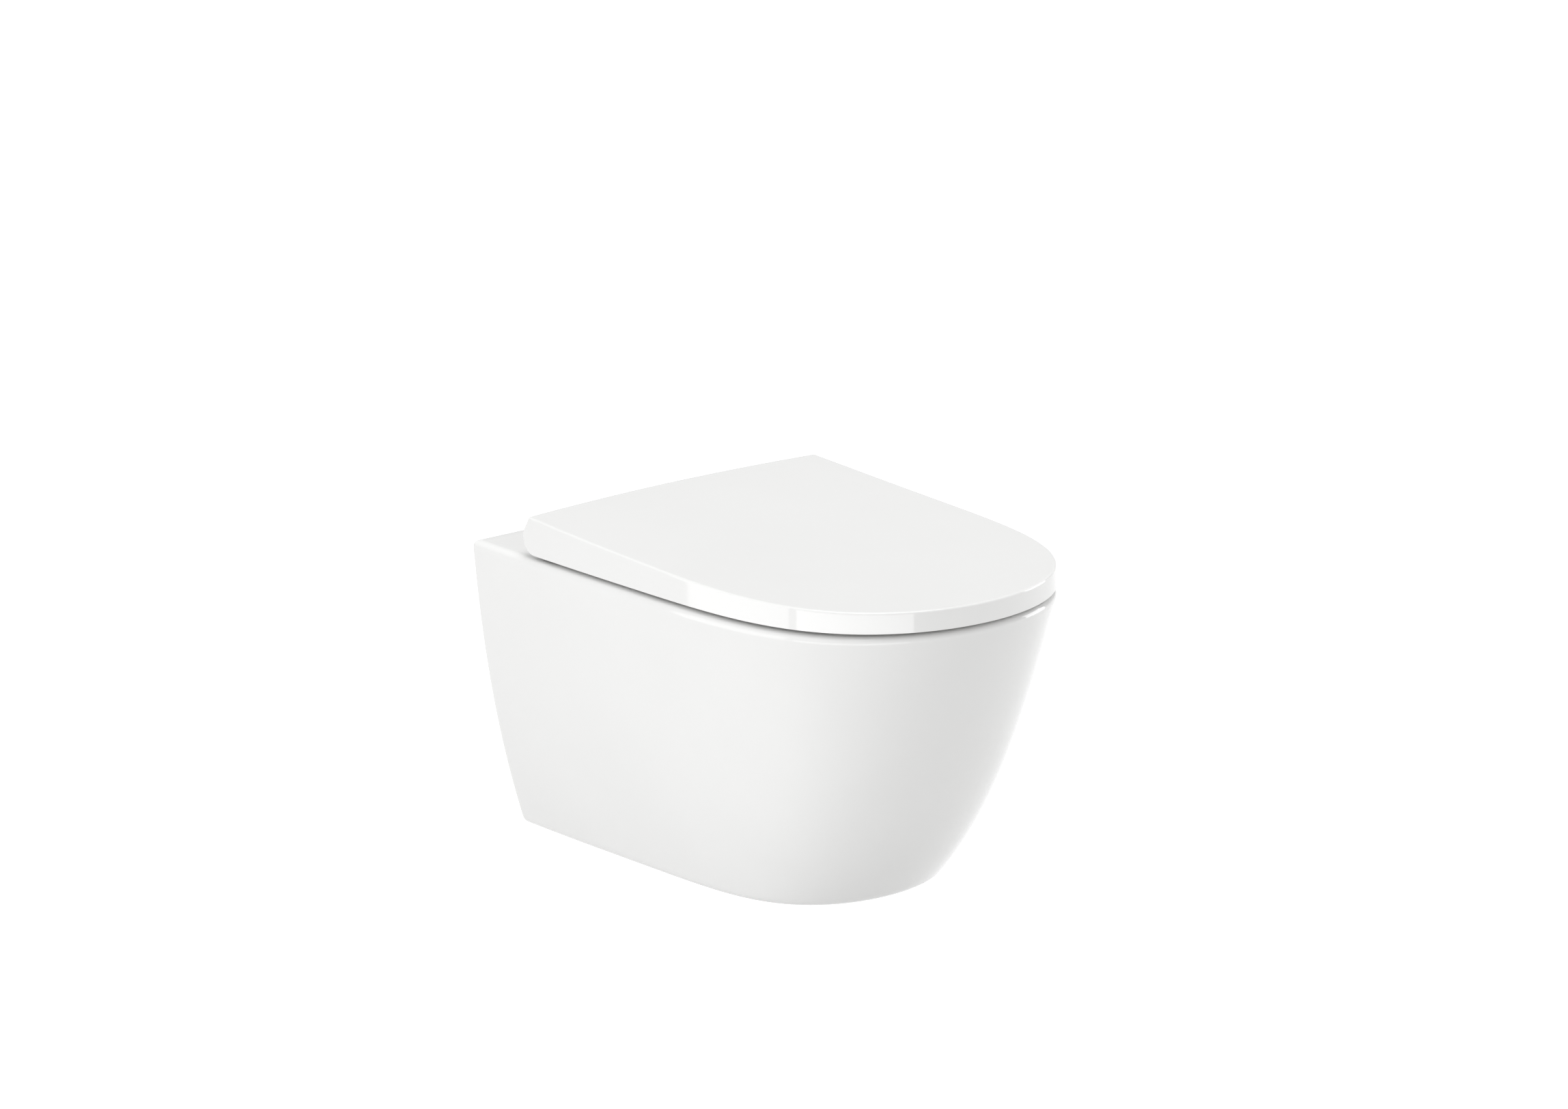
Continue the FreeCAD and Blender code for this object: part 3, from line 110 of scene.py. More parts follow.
def new_mesh(name, points, faces):
    """An object at the origin whose mesh holds the points, in metres, and the arrays of faces."""
    mesh = bpy.data.meshes.new(name)
    mesh.vertices.add(len(points))
    mesh.vertices.foreach_set("co", (points * MM).astype(np.float32).ravel())
    sizes = np.concatenate([np.full(len(face), face.shape[1]) for face in faces])
    corners = np.concatenate([face.ravel() for face in faces])
    mesh.loops.add(len(corners))
    mesh.loops.foreach_set("vertex_index", corners.astype(np.int32))
    mesh.polygons.add(len(sizes))
    mesh.polygons.foreach_set("loop_start", (np.cumsum(sizes) - sizes).astype(np.int32))
    mesh.update(calc_edges=True)
    thing = bpy.data.objects.new(name, mesh)
    bpy.context.scene.collection.objects.link(thing)
    return thing


def smooth(thing, sharp_degrees=32.0):
    """Smooth shading with edges sharper than the angle kept."""
    thing.data.polygons.foreach_set("use_smooth", np.ones(len(thing.data.polygons), bool))
    thing.data.set_sharp_from_angle(angle=math.radians(sharp_degrees))
    return thing


def carve(thing, cutters, operation="DIFFERENCE"):
    """Cuts the closed cutters out of the thing, or joins them to it, and removes them."""
    group = bpy.data.collections.new("cutters")
    for cutter in cutters:
        group.objects.link(cutter)
    modifier = thing.modifiers.new("carve", "BOOLEAN")
    modifier.operand_type = "COLLECTION"
    modifier.collection = group
    modifier.operation = operation
    modifier.solver = "EXACT"
    graph = bpy.context.evaluated_depsgraph_get()
    result = bpy.data.meshes.new_from_object(thing.evaluated_get(graph))
    thing.modifiers.clear()
    thing.data = result
    for cutter in cutters:
        bpy.data.objects.remove(cutter)
    bpy.data.collections.remove(group)
    return thing


def healed(thing, gap):
    """Merges points nearer than the gap, in millimetres, and fills the slivers that a cut left open."""
    shape = bmesh.new()
    shape.from_mesh(thing.data)
    bmesh.ops.remove_doubles(shape, verts=shape.verts, dist=gap * MM)
    bmesh.ops.dissolve_degenerate(shape, edges=shape.edges, dist=gap * MM)
    bmesh.ops.delete(shape, geom=[edge for edge in shape.edges if edge.is_wire], context="EDGES")
    bmesh.ops.holes_fill(shape, edges=[edge for edge in shape.edges if edge.is_boundary], sides=4)
    shape.to_mesh(thing.data)
    shape.free()
    return thing


# ---------------- outlines


def quarter(radius, count):
    """How far in and how far up a rounded edge is, from its start on the wall to its top."""
    angle = np.linspace(0.0, np.pi / 2, count)
    return radius * (1 - np.cos(angle)), radius * np.sin(angle)


def eased(count, power=1.0):
    """Even steps from 0 to 1, drawn towards 0 by a power above 1."""
    return np.linspace(0.0, 1.0, count) ** power


FLANK = eased(26, 1.5)[1:]
NOSE = eased(60)[1:]
CORNER = eased(7)
REAR = eased(10)[:-1]


def span(side, near, far):
    """Left and right end of a stretch that lies on one side, between two distances from the middle."""
    return sorted((side * near, side * far))


def column(value):
    """A number or a row of numbers as a column, one for each ring."""
    return np.asarray(value, float).reshape(-1, 1)


def horseshoe(half, front, shoulder, squareness, taper, rear, corner):
    """Right half of a plan outline, from the middle of its rear round to the nose, as (x, depth) rows.

    Rear line at depth rear; a corner arc; a flank whose half width draws in by taper times the
    square of the way from the shoulder to the wall; then (x / half)^2 + t^squareness = 1 with t
    from 0 at the shoulder to 1 at the front. Every argument may be a column, one value per ring.
    """
    values = half, front, shoulder, squareness, taper, rear, corner
    half, front, shoulder, squareness, taper, rear, corner = map(column, values)

    def width_at(depth):
        return half - taper * ((shoulder - depth) / shoulder) ** 2

    start = rear + corner
    edge = width_at(start)
    turn = CORNER * np.pi / 2
    corner_x = edge - corner + corner * np.sin(turn)
    corner_depth = start - corner * np.cos(turn)
    flank_depth = start + (shoulder - start) * FLANK
    angle = np.pi / 2 * NOSE ** (squareness / 2)
    nose_x = half * np.cos(angle)
    nose_depth = shoulder + (front - shoulder) * np.sin(angle) ** (2 / squareness)
    rear_x = (edge - corner) * REAR
    rear_depth = rear + 0 * rear_x
    x = np.hstack([rear_x, corner_x, width_at(flank_depth), nose_x])
    depth = np.hstack([rear_depth, corner_depth, flank_depth, nose_depth])
    return x, depth


def both_sides(x, depth, z):
    """The closed loop of a right half outline and its mirror image, as points."""
    z = np.broadcast_to(z, x.shape)
    right = np.stack([x, -depth, z], -1)
    left = right[:, -2:0:-1] * (-1, 1, 1)
    return np.concatenate([right, left], 1)


def around_centre(x, depth, centre):
    """Polar angle of each outline point as seen from a centre on the middle line."""
    return np.arctan2(depth - centre, x)


def oval_towards(angle, half, front, widest, back):
    """Points of an egg (two half ellipses that share their widest line) in the directions given."""
    half, front, widest, back = map(column, (half, front, widest, back))
    reach = np.where(np.sin(angle) > 0, front - widest, widest - back)
    length = 1 / np.sqrt((np.cos(angle) / half) ** 2 + (np.sin(angle) / reach) ** 2)
    return length * np.cos(angle), widest + length * np.sin(angle)


# ---------------- plain closed forms


def direction_frame(way):
    """Two unit vectors square to a direction."""
    way = np.asarray(way, float) / np.linalg.norm(way)
    side = np.cross(way, (0.0, 0.0, 1.0) if abs(way[2]) < 0.9 else (1.0, 0.0, 0.0))
    side /= np.linalg.norm(side)
    return way, side, np.cross(way, side)


def turned(name, profile, base, way=(0, 0, 1), around=64, bored=False):
    """A profile of (radius, height) rows turned about an axis; bored joins its end to its start."""
    profile = np.asarray(profile, float)
    way, side, up = direction_frame(way)
    angle = np.arange(around) * 2 * np.pi / around
    circle = np.cos(angle)[:, None] * side + np.sin(angle)[:, None] * up
    base = np.asarray(base, float)
    rings = base + profile[:, None, :1] * circle + profile[:, None, 1:] * way
    if bored:
        return rings_mesh(name, rings, tube=True)
    ends = [base + height * way for height in (profile[0, 1], profile[-1, 1])]
    return rings_mesh(name, rings, *ends)


def rod(name, radius, start, end, around=64):
    """A plain round bar between two points."""
    start, end = np.asarray(start, float), np.asarray(end, float)
    length = np.linalg.norm(end - start)
    return turned(name, [(radius, 0.0), (radius, length)], start, end - start, around)


def wall_rod(name, radius, x, z, start, end, around=64):
    """A round bar square to the wall, from one depth to another."""
    return rod(name, radius, (x, -start, z), (x, -end, z), around)


def upright_rod(name, radius, x, depth, start, end, around=64):
    """An upright round bar from one height to another."""
    return rod(name, radius, (x, -depth, start), (x, -depth, end), around)


def brick(name, low, high):
    """A plain box between two corners."""
    low, high = np.asarray(low, float), np.asarray(high, float)
    corners = np.where([(0, 0), (1, 0), (1, 1), (0, 1)], high[:2], low[:2])
    rings = np.stack([np.column_stack([corners, np.full(4, z)]) for z in (low[2], high[2])])
    middle = (low[:2] + high[:2]) / 2
    return rings_mesh(name, rings, (*middle, low[2]), (*middle, high[2]))


# ---------------- pan

# The pan's plan outline at its foot and at its rim.
FOOT_WIDTH, RIM_WIDTH = 237.5, 360.0
FOOT_LENGTH, RIM_LENGTH = 398.0, 530.0
FOOT_SHOULDER, RIM_SHOULDER = 112.0, 213.0
FOOT_SQUARENESS, RIM_SQUARENESS = 6.0, 4.0
FOOT_TAPER, RIM_TAPER = 2.0, 4.0
SIDE_CURL = (0.51, 2.35)  # share and power of the bulge on the way from foot to rim
NOSE_CURL = (0.265, 4.6)


def curl(share, power, level):
    """0 at the underside and 1 at the rim: part of the spread bulges out early, the rest is straight."""
    return share * (1 - (1 - level) ** power) + (1 - share) * level


def between(foot, rim, share):
    """A straight change from the foot's value to the rim's."""
    return foot + (rim - foot) * share


def skin_outline(height, inset, rear, corner):
    """The pan's plan outlines at heights above its underside, drawn in by insets."""
    level = height / PAN_HEIGHT
    return horseshoe(
        between(FOOT_WIDTH, RIM_WIDTH, curl(*SIDE_CURL, level)) / 2 - inset,
        between(FOOT_LENGTH, RIM_LENGTH, curl(*NOSE_CURL, level)) - inset,
        between(FOOT_SHOULDER, RIM_SHOULDER, level),
        between(FOOT_SQUARENESS, RIM_SQUARENESS, level),
        between(FOOT_TAPER, RIM_TAPER, level),
        rear,
        corner,
    )


FOOT_ROUND = 7.0
RIM_ROUND = 8.0
WALL_CORNER = 5.0
SKIN_RINGS = 72
PAN_CENTRE = 300.0  # widest line of the bowl's mouth
MOUTH_HALF = 138.0
MOUTH_FRONT = 488.0
MOUTH_BACK = 132.0
MOUTH_ROUND = 9.0
RIM_WALL = 50.0  # height of the upright wall under the rim
STEP_ROUND = 6.0  # hollow between that wall and the ledge
LEDGE = 13.0
SUMP_HALF = 42.0
SUMP_FRONT = 288.0
SUMP_BACK = 188.0
SUMP_FLOOR = 12.0
SUMP_ROUND = 10.0
SUMP_CENTRE = (SUMP_FRONT + SUMP_BACK) / 2
FUNNEL_POWER = 0.8
BOWL_CHINA = 9.0
BOWL_OUTSIDE_TOP = RIM - 1.0  # just above the hollow's ceiling
FLOOR_CENTRE = 180.0  # middle of the underside's rings
FLOOR_SHARES = (0.25, 0.5, 0.75, 0.9)  # rings from that middle to the skin
DECK_SHARES = (0.06, 0.2, 0.4, 0.6, 0.8, 0.94)  # rings from the rim's edge to the mouth


def china_block():
    """The pan before its rear is hollowed: underside, skin, rim, mouth, bowl, ledge, funnel and sump."""
    foot_inset, foot_rise = quarter(FOOT_ROUND, 8)
    rim_inset, rim_rise = quarter(RIM_ROUND, 10)
    skin_height = np.linspace(FOOT_ROUND, PAN_HEIGHT - RIM_ROUND, SKIN_RINGS)[1:-1]
    height = np.concatenate([FOOT_ROUND - foot_rise[::-1], skin_height, PAN_HEIGHT - RIM_ROUND + rim_rise])
    inset = np.concatenate([foot_inset[::-1], 0 * skin_height, rim_inset])
    x, depth = skin_outline(height, inset, inset, np.maximum(WALL_CORNER - inset, LEAST_CORNER))
    outside = both_sides(x, depth, PAN_BOTTOM + height[:, None])

    share = column(FLOOR_SHARES)
    floor = both_sides(x[:1] * share, FLOOR_CENTRE + (depth[:1] - FLOOR_CENTRE) * share, PAN_BOTTOM)

    angle = around_centre(x[-1:], depth[-1:], PAN_CENTRE)
    out, rise = quarter(MOUTH_ROUND, 10)
    out, rise = out[::-1], rise[::-1]
    edge_x, edge_depth = oval_towards(
        angle, MOUTH_HALF + out, MOUTH_FRONT + out, PAN_CENTRE, MOUTH_BACK - out
    )
    edge = both_sides(edge_x, edge_depth, column(RIM - MOUTH_ROUND + rise))
    share = column(DECK_SHARES)
    deck_x = x[-1] + (edge_x[0] - x[-1]) * share
    deck_depth = depth[-1] + (edge_depth[0] - depth[-1]) * share
    deck = both_sides(deck_x, deck_depth, RIM)

    bowl = bowl_rings(angle)
    tip = (0.0, bowl[-1, :, 1].mean(), bowl[-1, 0, 2])
    rings = np.concatenate([floor, outside, deck, edge, bowl])
    return rings_mesh("pan_china", rings, (0.0, -FLOOR_CENTRE, PAN_BOTTOM), tip)


def bowl_rings(angle, grow=0.0):
    """Rings down the bowl: upright wall, a rounded step to the ledge, then the funnel to the sump.

    Each ring is an egg whose width and ends shrink with depth to the power 0.8. The whole form may
    be grown on every side. Each array of insets has five parts: wall, step, funnel, the sump's
    rounded edge, and its floor.
    """
    wall_low = RIM - RIM_WALL - grow
    if grow == 0:
        wall = np.linspace(RIM - MOUTH_ROUND, wall_low + STEP_ROUND, 8)[1:]
    else:
        wall = np.linspace(BOWL_OUTSIDE_TOP, wall_low + STEP_ROUND, 8)
    inset, drop = (rows[1:] for rows in quarter(STEP_ROUND, 6))
    sunk = np.linspace(0.0, 1.0, 40)
    pull = sunk**FUNNEL_POWER
    sump_top = PAN_BOTTOM + SUMP_FLOOR + SUMP_ROUND - grow
    turn, fall = (rows[1:] for rows in quarter(SUMP_ROUND, 8))
    share = np.array([0.7, 0.4, 0.15])

    def insets(mouth, edge, centre):
        """How far in from the mouth each ring is, on a side whose sump has this edge and centre."""
        return column(np.concatenate([
            0 * wall,
            inset,
            LEDGE + (mouth - LEDGE - edge) * pull,
            mouth - edge + turn,
            mouth - centre - (edge - centre - SUMP_ROUND) * share,
        ]))

    half = insets(MOUTH_HALF, SUMP_HALF, 0.0)
    front = insets(MOUTH_FRONT, SUMP_FRONT, SUMP_CENTRE)
    back = insets(-MOUTH_BACK, -SUMP_BACK, -SUMP_CENTRE)
    way = np.concatenate([0 * wall, 0 * inset, pull, 0 * turn + 1, 0 * share + 1])
    widest = PAN_CENTRE + (SUMP_CENTRE - PAN_CENTRE) * way
    height = np.concatenate([
        wall,
        wall_low + STEP_ROUND - drop,
        wall_low + (sump_top - wall_low) * sunk,
        sump_top - fall,
        0 * share + sump_top - SUMP_ROUND,
    ])
    x, depth = oval_towards(
        angle, MOUTH_HALF + grow - half, MOUTH_FRONT + grow - front, widest, MOUTH_BACK - grow + back
    )
    return both_sides(x, depth, column(height))


BEHIND = 6.0  # how far cutters run on behind the wall
INLET_HEIGHT = 35.0
INLET_RADIUS = 27.5
INLET_END = 60.0
DUCT_RADIUS = 25.0
DUCT_OUTSIDE_END = 140.0  # inside the bowl's china
DUCT_END = 157.0  # inside the bowl
PIPE_CHINA = 9.0
OUTLET_HEIGHT = -100.0
OUTLET_RADIUS = 42.0
OUTLET_END = 50.0
OUTLET_CHINA = 9.0
TRAP_HALF = 26.5
TRAP_CHINA = 8.0
TRAP_RISE, TRAP_FALL = math.radians(70.0), math.radians(40.0)
LOW_BEND, CREST_BEND = 45.0, 36.0
TRAP_LEVEL_END = 38.0
WATER_SEAL = 50.0
TRAP_STEPS = 4000
TRAP_RINGS = 121


def trap_line():
    """Middle line of the trap as rows of (depth, height, slope), from the sump to the wall.

    Level, a bend up, a rise, a bend over, a fall, a bend back, level. The slope changes evenly along
    each bend, and the places are the running sum of its cosine and sine.
    """
    rise, fall = TRAP_RISE, TRAP_FALL
    first = PAN_BOTTOM + SUMP_FLOOR + TRAP_HALF
    crest = first + 2 * TRAP_HALF + WATER_SEAL
    up = (crest - first - (LOW_BEND + CREST_BEND) * (1 - math.cos(rise))) / math.sin(rise)
    down = (crest - OUTLET_HEIGHT - 2 * CREST_BEND * (1 - math.cos(fall))) / math.sin(fall)
    across = LOW_BEND * math.sin(rise) + up * math.cos(rise) + down * math.cos(fall)
    across += CREST_BEND * (math.sin(rise) + 2 * math.sin(fall))
    start = max(SUMP_BACK + TRAP_HALF, TRAP_LEVEL_END + across)
    lengths = [
        start - TRAP_LEVEL_END - across,
        LOW_BEND * rise,
        up,
        CREST_BEND * (rise + fall),
        down,
        CREST_BEND * fall,
        TRAP_LEVEL_END + BEHIND,
    ]
    ends = np.concatenate([[0.0], np.cumsum(lengths)])
    slopes = np.array([0.0, 0.0, rise, rise, -fall, -fall, 0.0, 0.0])
    fine = np.linspace(0.0, ends[-1], TRAP_STEPS + 1)
    slope = np.interp(fine, ends, slopes)
    middle = (slope[1:] + slope[:-1]) / 2
    step = fine[1]
    depth = start - np.concatenate([[0.0], np.cumsum(np.cos(middle)) * step])
    height = first + np.concatenate([[0.0], np.cumsum(np.sin(middle)) * step])
    pick = np.linspace(0, TRAP_STEPS, TRAP_RINGS).astype(int)
    return np.stack([depth[pick], height[pick], slope[pick]], -1)


def trap_tube(name, radius, around=48):
    """A closed tube of circles square to the trap's middle line."""
    depth, height, slope = trap_line().T[:, :, None]
    angle = np.arange(around) * 2 * np.pi / around
    x = radius * np.cos(angle) + 0 * depth
    out = radius * np.sin(angle)
    rings = np.stack([x, -depth - out * np.sin(slope), height + out * np.cos(slope)], -1)
    return capped(name, rings)


SKIN_CHINA = 10.0
DECK_CHINA = 12.0
WALL_CHINA = 12.0  # thickness of the flange on the wall
HOLLOW_CORNER = 2.0
HOLLOW_RINGS = 40
HOLLOW_LEVELS = (PAN_BOTTOM + SKIN_CHINA, RIM - DECK_CHINA)  # floor and ceiling of the hollow
FLANGE_WIDTH = 22.0
FLANGE_LEAN = 2.5  # opening narrower than the flange's inside on each side
FLANGE_END = 13.0
CHANNEL_RADIUS = 17.0
CHANNEL_END = 75.0
CHANNEL_CHINA = 8.0
WEB_SIDE = 185.0  # beyond the skin, which trims the web
LOCK_HOLE_RADIUS = 4.5
LOCK_HOLE_LOW = -30.0
KEY_RADIUS = 9.0
KEY_HEIGHT = 22.0
SEAT_HOLE_RADIUS = 7.5
PAN_SLIVER = 0.005  # points nearer than this are one


def skin_inside():
    """The pan's inside: its outlines drawn in by the china's thickness, from floor to ceiling."""
    height = np.linspace(SKIN_CHINA, PAN_HEIGHT - DECK_CHINA, HOLLOW_RINGS)
    x, depth = skin_outline(height, SKIN_CHINA, WALL_CHINA + 0 * height, HOLLOW_CORNER)
    rings = both_sides(x, depth, column(PAN_BOTTOM + height))
    caps = [(0.0, -FLOOR_CENTRE, ring[0, 2]) for ring in (rings[0], rings[-1])]
    return rings_mesh("inside_of_skin", rings, *caps)


def flange_opening():
    """The opening within the wall flange: an outline of the skin's widths, pushed in from the wall."""
    height = np.linspace(FLANGE_WIDTH, PAN_HEIGHT - FLANGE_WIDTH, HOLLOW_RINGS)
    x, _ = skin_outline(height, FLANGE_WIDTH, 0 * height, LEAST_CORNER)
    half = x.max(1) - FLANGE_LEAN
    z = PAN_BOTTOM + height
    loop = np.concatenate([np.stack([half, z], -1), np.stack([-half, z], -1)[::-1]])
    across, up = loop.T
    ends = (BEHIND, -FLANGE_END)
    rings = np.stack([np.column_stack([across, np.full(len(loop), y), up]) for y in ends])
    return rings_mesh("flange_opening", rings, *((0, y, (z[0] + z[-1]) / 2) for y in ends))


def bowl_outside():
    """The china round the bowl: the bowl's own rings, grown by its thickness."""
    angle = np.linspace(-np.pi / 2, np.pi / 2, 61)[None]
    rings = bowl_rings(angle, BOWL_CHINA)
    low = rings[-1, 0, 2]
    return rings_mesh("bowl_outside", rings, (0, -PAN_CENTRE, rings[0, 0, 2]), (0, -SUMP_CENTRE, low))


def rear_space():
    """What is empty behind the china: the skin's inside and the flange's opening, less bowl and pipes."""
    space = carve(skin_inside(), [flange_opening()], "UNION")
    inlet, duct = INLET_RADIUS + PIPE_CHINA, DUCT_RADIUS + PIPE_CHINA
    channel, channel_end = CHANNEL_RADIUS + CHANNEL_CHINA, CHANNEL_END + CHANNEL_CHINA
    outlet = OUTLET_RADIUS + OUTLET_CHINA
    solids = [
        bowl_outside(),
        trap_tube("trap_outside", TRAP_HALF + TRAP_CHINA),
        wall_rod("inlet_outside", inlet, 0, INLET_HEIGHT, -BEHIND, INLET_END + PIPE_CHINA),
        wall_rod("duct_outside", duct, 0, INLET_HEIGHT, INLET_END, DUCT_OUTSIDE_END),
        wall_rod("outlet_outside", outlet, 0, OUTLET_HEIGHT, -BEHIND, OUTLET_END + TRAP_CHINA, 96),
    ]
    for _, side in SIDES:
        x = side * STUD_SIDE
        solids.append(wall_rod("channel_outside", channel, x, 0, -BEHIND, channel_end))
        low, high = span(side, STUD_SIDE, WEB_SIDE)
        half = CHANNEL_CHINA
        solids.append(brick("channel_web", (low, -channel_end, -half), (high, BEHIND, half)))
    return carve(space, solids)


def china_ways():
    """The bores in the china: inlet and duct, trap and outlet, stud channels, screw and seat holes."""
    ways = [
        wall_rod("inlet_way", INLET_RADIUS, 0, INLET_HEIGHT, -BEHIND, INLET_END),
        wall_rod("duct_way", DUCT_RADIUS, 0, INLET_HEIGHT, INLET_END - 1.0, DUCT_END),
        wall_rod("outlet_way", OUTLET_RADIUS, 0, OUTLET_HEIGHT, -BEHIND, OUTLET_END, 96),
        trap_tube("trap_way", TRAP_HALF),
    ]
    for _, side in SIDES:
        x, fixing = side * STUD_SIDE, side * HINGE_SIDE
        ways.append(wall_rod("channel_way", CHANNEL_RADIUS, x, 0, -BEHIND, CHANNEL_END))
        ways.append(upright_rod("screw_way", LOCK_HOLE_RADIUS, x, LOCK_DEPTH, 0, LOCK_HOLE_LOW, 32))
        key_low, key_high = PAN_BOTTOM - 5.0, PAN_BOTTOM + KEY_HEIGHT
        ways.append(upright_rod("key_way", KEY_RADIUS, x, LOCK_DEPTH, key_low, key_high))
        ways.append(upright_rod("seat_way", SEAT_HOLE_RADIUS, fixing, HINGE_DEPTH, RIM - 20.0, RIM + 6.0))
    return ways


def pan_china():
    """The casting: the outside form less the rear space and the bores."""
    return healed(carve(carve(china_block(), [rear_space()]), china_ways()), PAN_SLIVER)


# ---------------- lid

LID_LOW = RIM + 3.5
LID_HALF = 177.0
LID_WALL = 3.6
LID_ROUND = 2.0
LID_FRONT = 19.3  # height at the front
LID_RISE, LID_RISE_POWER = 16.0, 1.7
LID_CROWN = 1.6
LID_DRAFT = 0.65
LID_REAR = 85.3
REAR_BOW = 6.0  # how far the rear's middle bows out to the wall beyond its corners
REAR_RADIUS = 15.5
REAR_IN = 4.0  # each end of the rear's bow, in from the lid's widest line
ARC_SHARE = 0.5  # part of the rear's height, counted in rings, that lies on its arc
REAR_CORNER = 2.0
LID_SHARES = (0.01, 0.03, 0.07, 0.13, 0.2, 0.3, 0.4, 0.5, 0.6, 0.7, 0.8, 0.9, 0.97)  # edge to middle


def lid_top(x, depth):
    """Height of the lid's upper face: front height plus a rise to the rear, slightly crowned there."""
    back = np.clip((RIM_LENGTH - depth) / (RIM_LENGTH - LID_REAR), 0.0, None)
    crown = LID_CROWN * (1 - (x / LID_HALF) ** 2) * np.minimum(back, 1.0)
    return LID_LOW + LID_FRONT + LID_RISE * back**LID_RISE_POWER + crown


def lid_rear_profile(x, share, wall):
    """The lid's rear in side view: an arc about the hinge axis, then a straight face to the top edge.

    share runs from 0 at the arc's lowest point to 1 just under the rounded top edge. wall draws the
    profile in, for the lid's inside.
    """
    middle = 1 - (x / LID_HALF) ** 2
    corner_depth = LID_REAR - REAR_BOW * middle + wall / 2
    corner_height = lid_top(x, corner_depth) - wall
    radius = REAR_RADIUS - wall
    back, up = HINGE_DEPTH - corner_depth, corner_height - HINGE_HEIGHT
    touch = np.arctan2(up, back) - np.arccos(radius / np.hypot(back, up))
    end_height = corner_height - (LID_ROUND if wall == 0 else 0)
    touch_depth = HINGE_DEPTH - radius * np.cos(touch)
    touch_height = HINGE_HEIGHT + radius * np.sin(touch)
    lean = (corner_depth - touch_depth) / (corner_height - touch_height)
    arc = np.clip(share / ARC_SHARE, 0, 1)
    line = np.clip((share - ARC_SHARE) / (1 - ARC_SHARE), 0, 1)
    angle = -np.pi / 2 + (touch + np.pi / 2) * arc
    z = HINGE_HEIGHT + radius * np.sin(angle) + (end_height - touch_height) * line
    depth = HINGE_DEPTH - radius * np.cos(angle) + lean * (end_height - touch_height) * line
    return depth, z


def lid_rings(wall):
    """Rings of the lid's outside from its lower edge to its middle, or with a wall those of its inside.

    Each ring's share of the way up is that of the rear's corner. The middle is returned as a point.
    """
    outside = wall == 0
    share = column(np.concatenate([eased(22)[:-1], [1.0]]))
    corner = REAR_CORNER if outside else LEAST_CORNER
    half, front = LID_HALF - wall, RIM_LENGTH - wall
    rear_x = (half - REAR_IN - corner) * REAR
    rear_depth, rear_z = lid_rear_profile(rear_x, share, wall)
    corner_depth, corner_z = lid_rear_profile(np.array([half - REAR_IN]), share, wall)
    risen = (corner_z - corner_z[:1]) / (corner_z[-1:] - corner_z[:1])
    draft = LID_DRAFT * risen
    x, depth = horseshoe(half - draft, front - draft, RIM_SHOULDER, RIM_SQUARENESS, RIM_TAPER,
                         corner_depth, corner)
    top = lid_top(x, depth) - (LID_ROUND if outside else wall)
    z = LID_LOW + (top - LID_LOW) * risen
    rear = len(REAR)
    z[:, :rear] = rear_z
    depth[:, :rear] = rear_depth
    if not outside:
        z[:, :rear + len(CORNER)] = np.maximum(z[:, :rear + len(CORNER)], corner_z)
    rings = [both_sides(x, depth, z)]
    if outside:
        inset, rise = (column(rows[1:]) for rows in quarter(LID_ROUND, 7))
        x, depth = drawn_in(x[-1], depth[-1], inset)
        rings.append(both_sides(x, depth, lid_top(x, depth) - LID_ROUND + rise))
    share = 1 - column(LID_SHARES)
    x, depth = x[-1] * share, PAN_CENTRE + (depth[-1] - PAN_CENTRE) * share
    rings.append(both_sides(x, depth, lid_top(x, depth) - wall))
    middle = (0.0, -PAN_CENTRE, float(lid_top(0.0, PAN_CENTRE)) - wall)
    return np.concatenate(rings), middle


def drawn_in(x, depth, inset):
    """The right half outline moved inwards by insets, along its own normals."""
    whole_x = np.concatenate([[-x[1]], x, [-x[-2]]])
    whole_depth = np.concatenate([[depth[1]], depth, [depth[-2]]])
    along_x, along_depth = whole_x[2:] - whole_x[:-2], whole_depth[2:] - whole_depth[:-2]
    length = np.hypot(along_x, along_depth)
    return x - inset * along_depth / length, depth + inset * along_x / length


def lid_shell():
    """The lid: its outside and its inside, joined round the lower edge."""
    outer, outer_tip = lid_rings(0.0)
    inner, inner_tip = lid_rings(LID_WALL)
    return rings_mesh("lid_cover", np.concatenate([inner[::-1], outer]), inner_tip, outer_tip)


def axis_turned(name, profile, start, side, around=64, bored=False):
    """A profile turned about the hinge axis, starting at a distance from the middle and going outwards."""
    return turned(name, profile, (side * start, -HINGE_DEPTH, HINGE_HEIGHT), (side, 0, 0), around, bored)


def axis_rod(name, radius, start, end, side, around=64):
    """A plain round bar on the hinge axis, between two distances from the middle."""
    return axis_turned(name, [(radius, 0.0), (radius, end - start)], start, side, around)


def soft_bar(radius, length, edge):
    """Profile of a round bar with softened ends."""
    inset, rise = quarter(edge, 4)
    low = np.stack([radius - inset[::-1], edge - rise[::-1]], -1)
    high = np.stack([radius - inset, length - edge + rise], -1)
    return np.concatenate([low, high])


BAR_EDGE = 0.8
COVER_START, COVER_END = 60.0, 97.0  # middle to the two ends of a hinge cover
KNUCKLE_RADIUS = 13.7
KNUCKLE_START, KNUCKLE_END = 122.0, 146.0
SHAFT_RADIUS = 3.5
SHAFT_HOLE = 3.55
RIB_HALF = 4.0
SEAT_LOW = RIM + 4.5
SEAT_HIGH = SEAT_LOW + 13.0
LID_FEET = [(side * 62.0, 476.0) for _, side in SIDES]
BOSS_RADIUS = 7.0
COVER_WAY_RADIUS = 15.1  # round the cover's barrel
REAR_WAY_RADIUS = 19.6  # behind it, where the lid's rear turns past
LID_SLIVER = 0.02


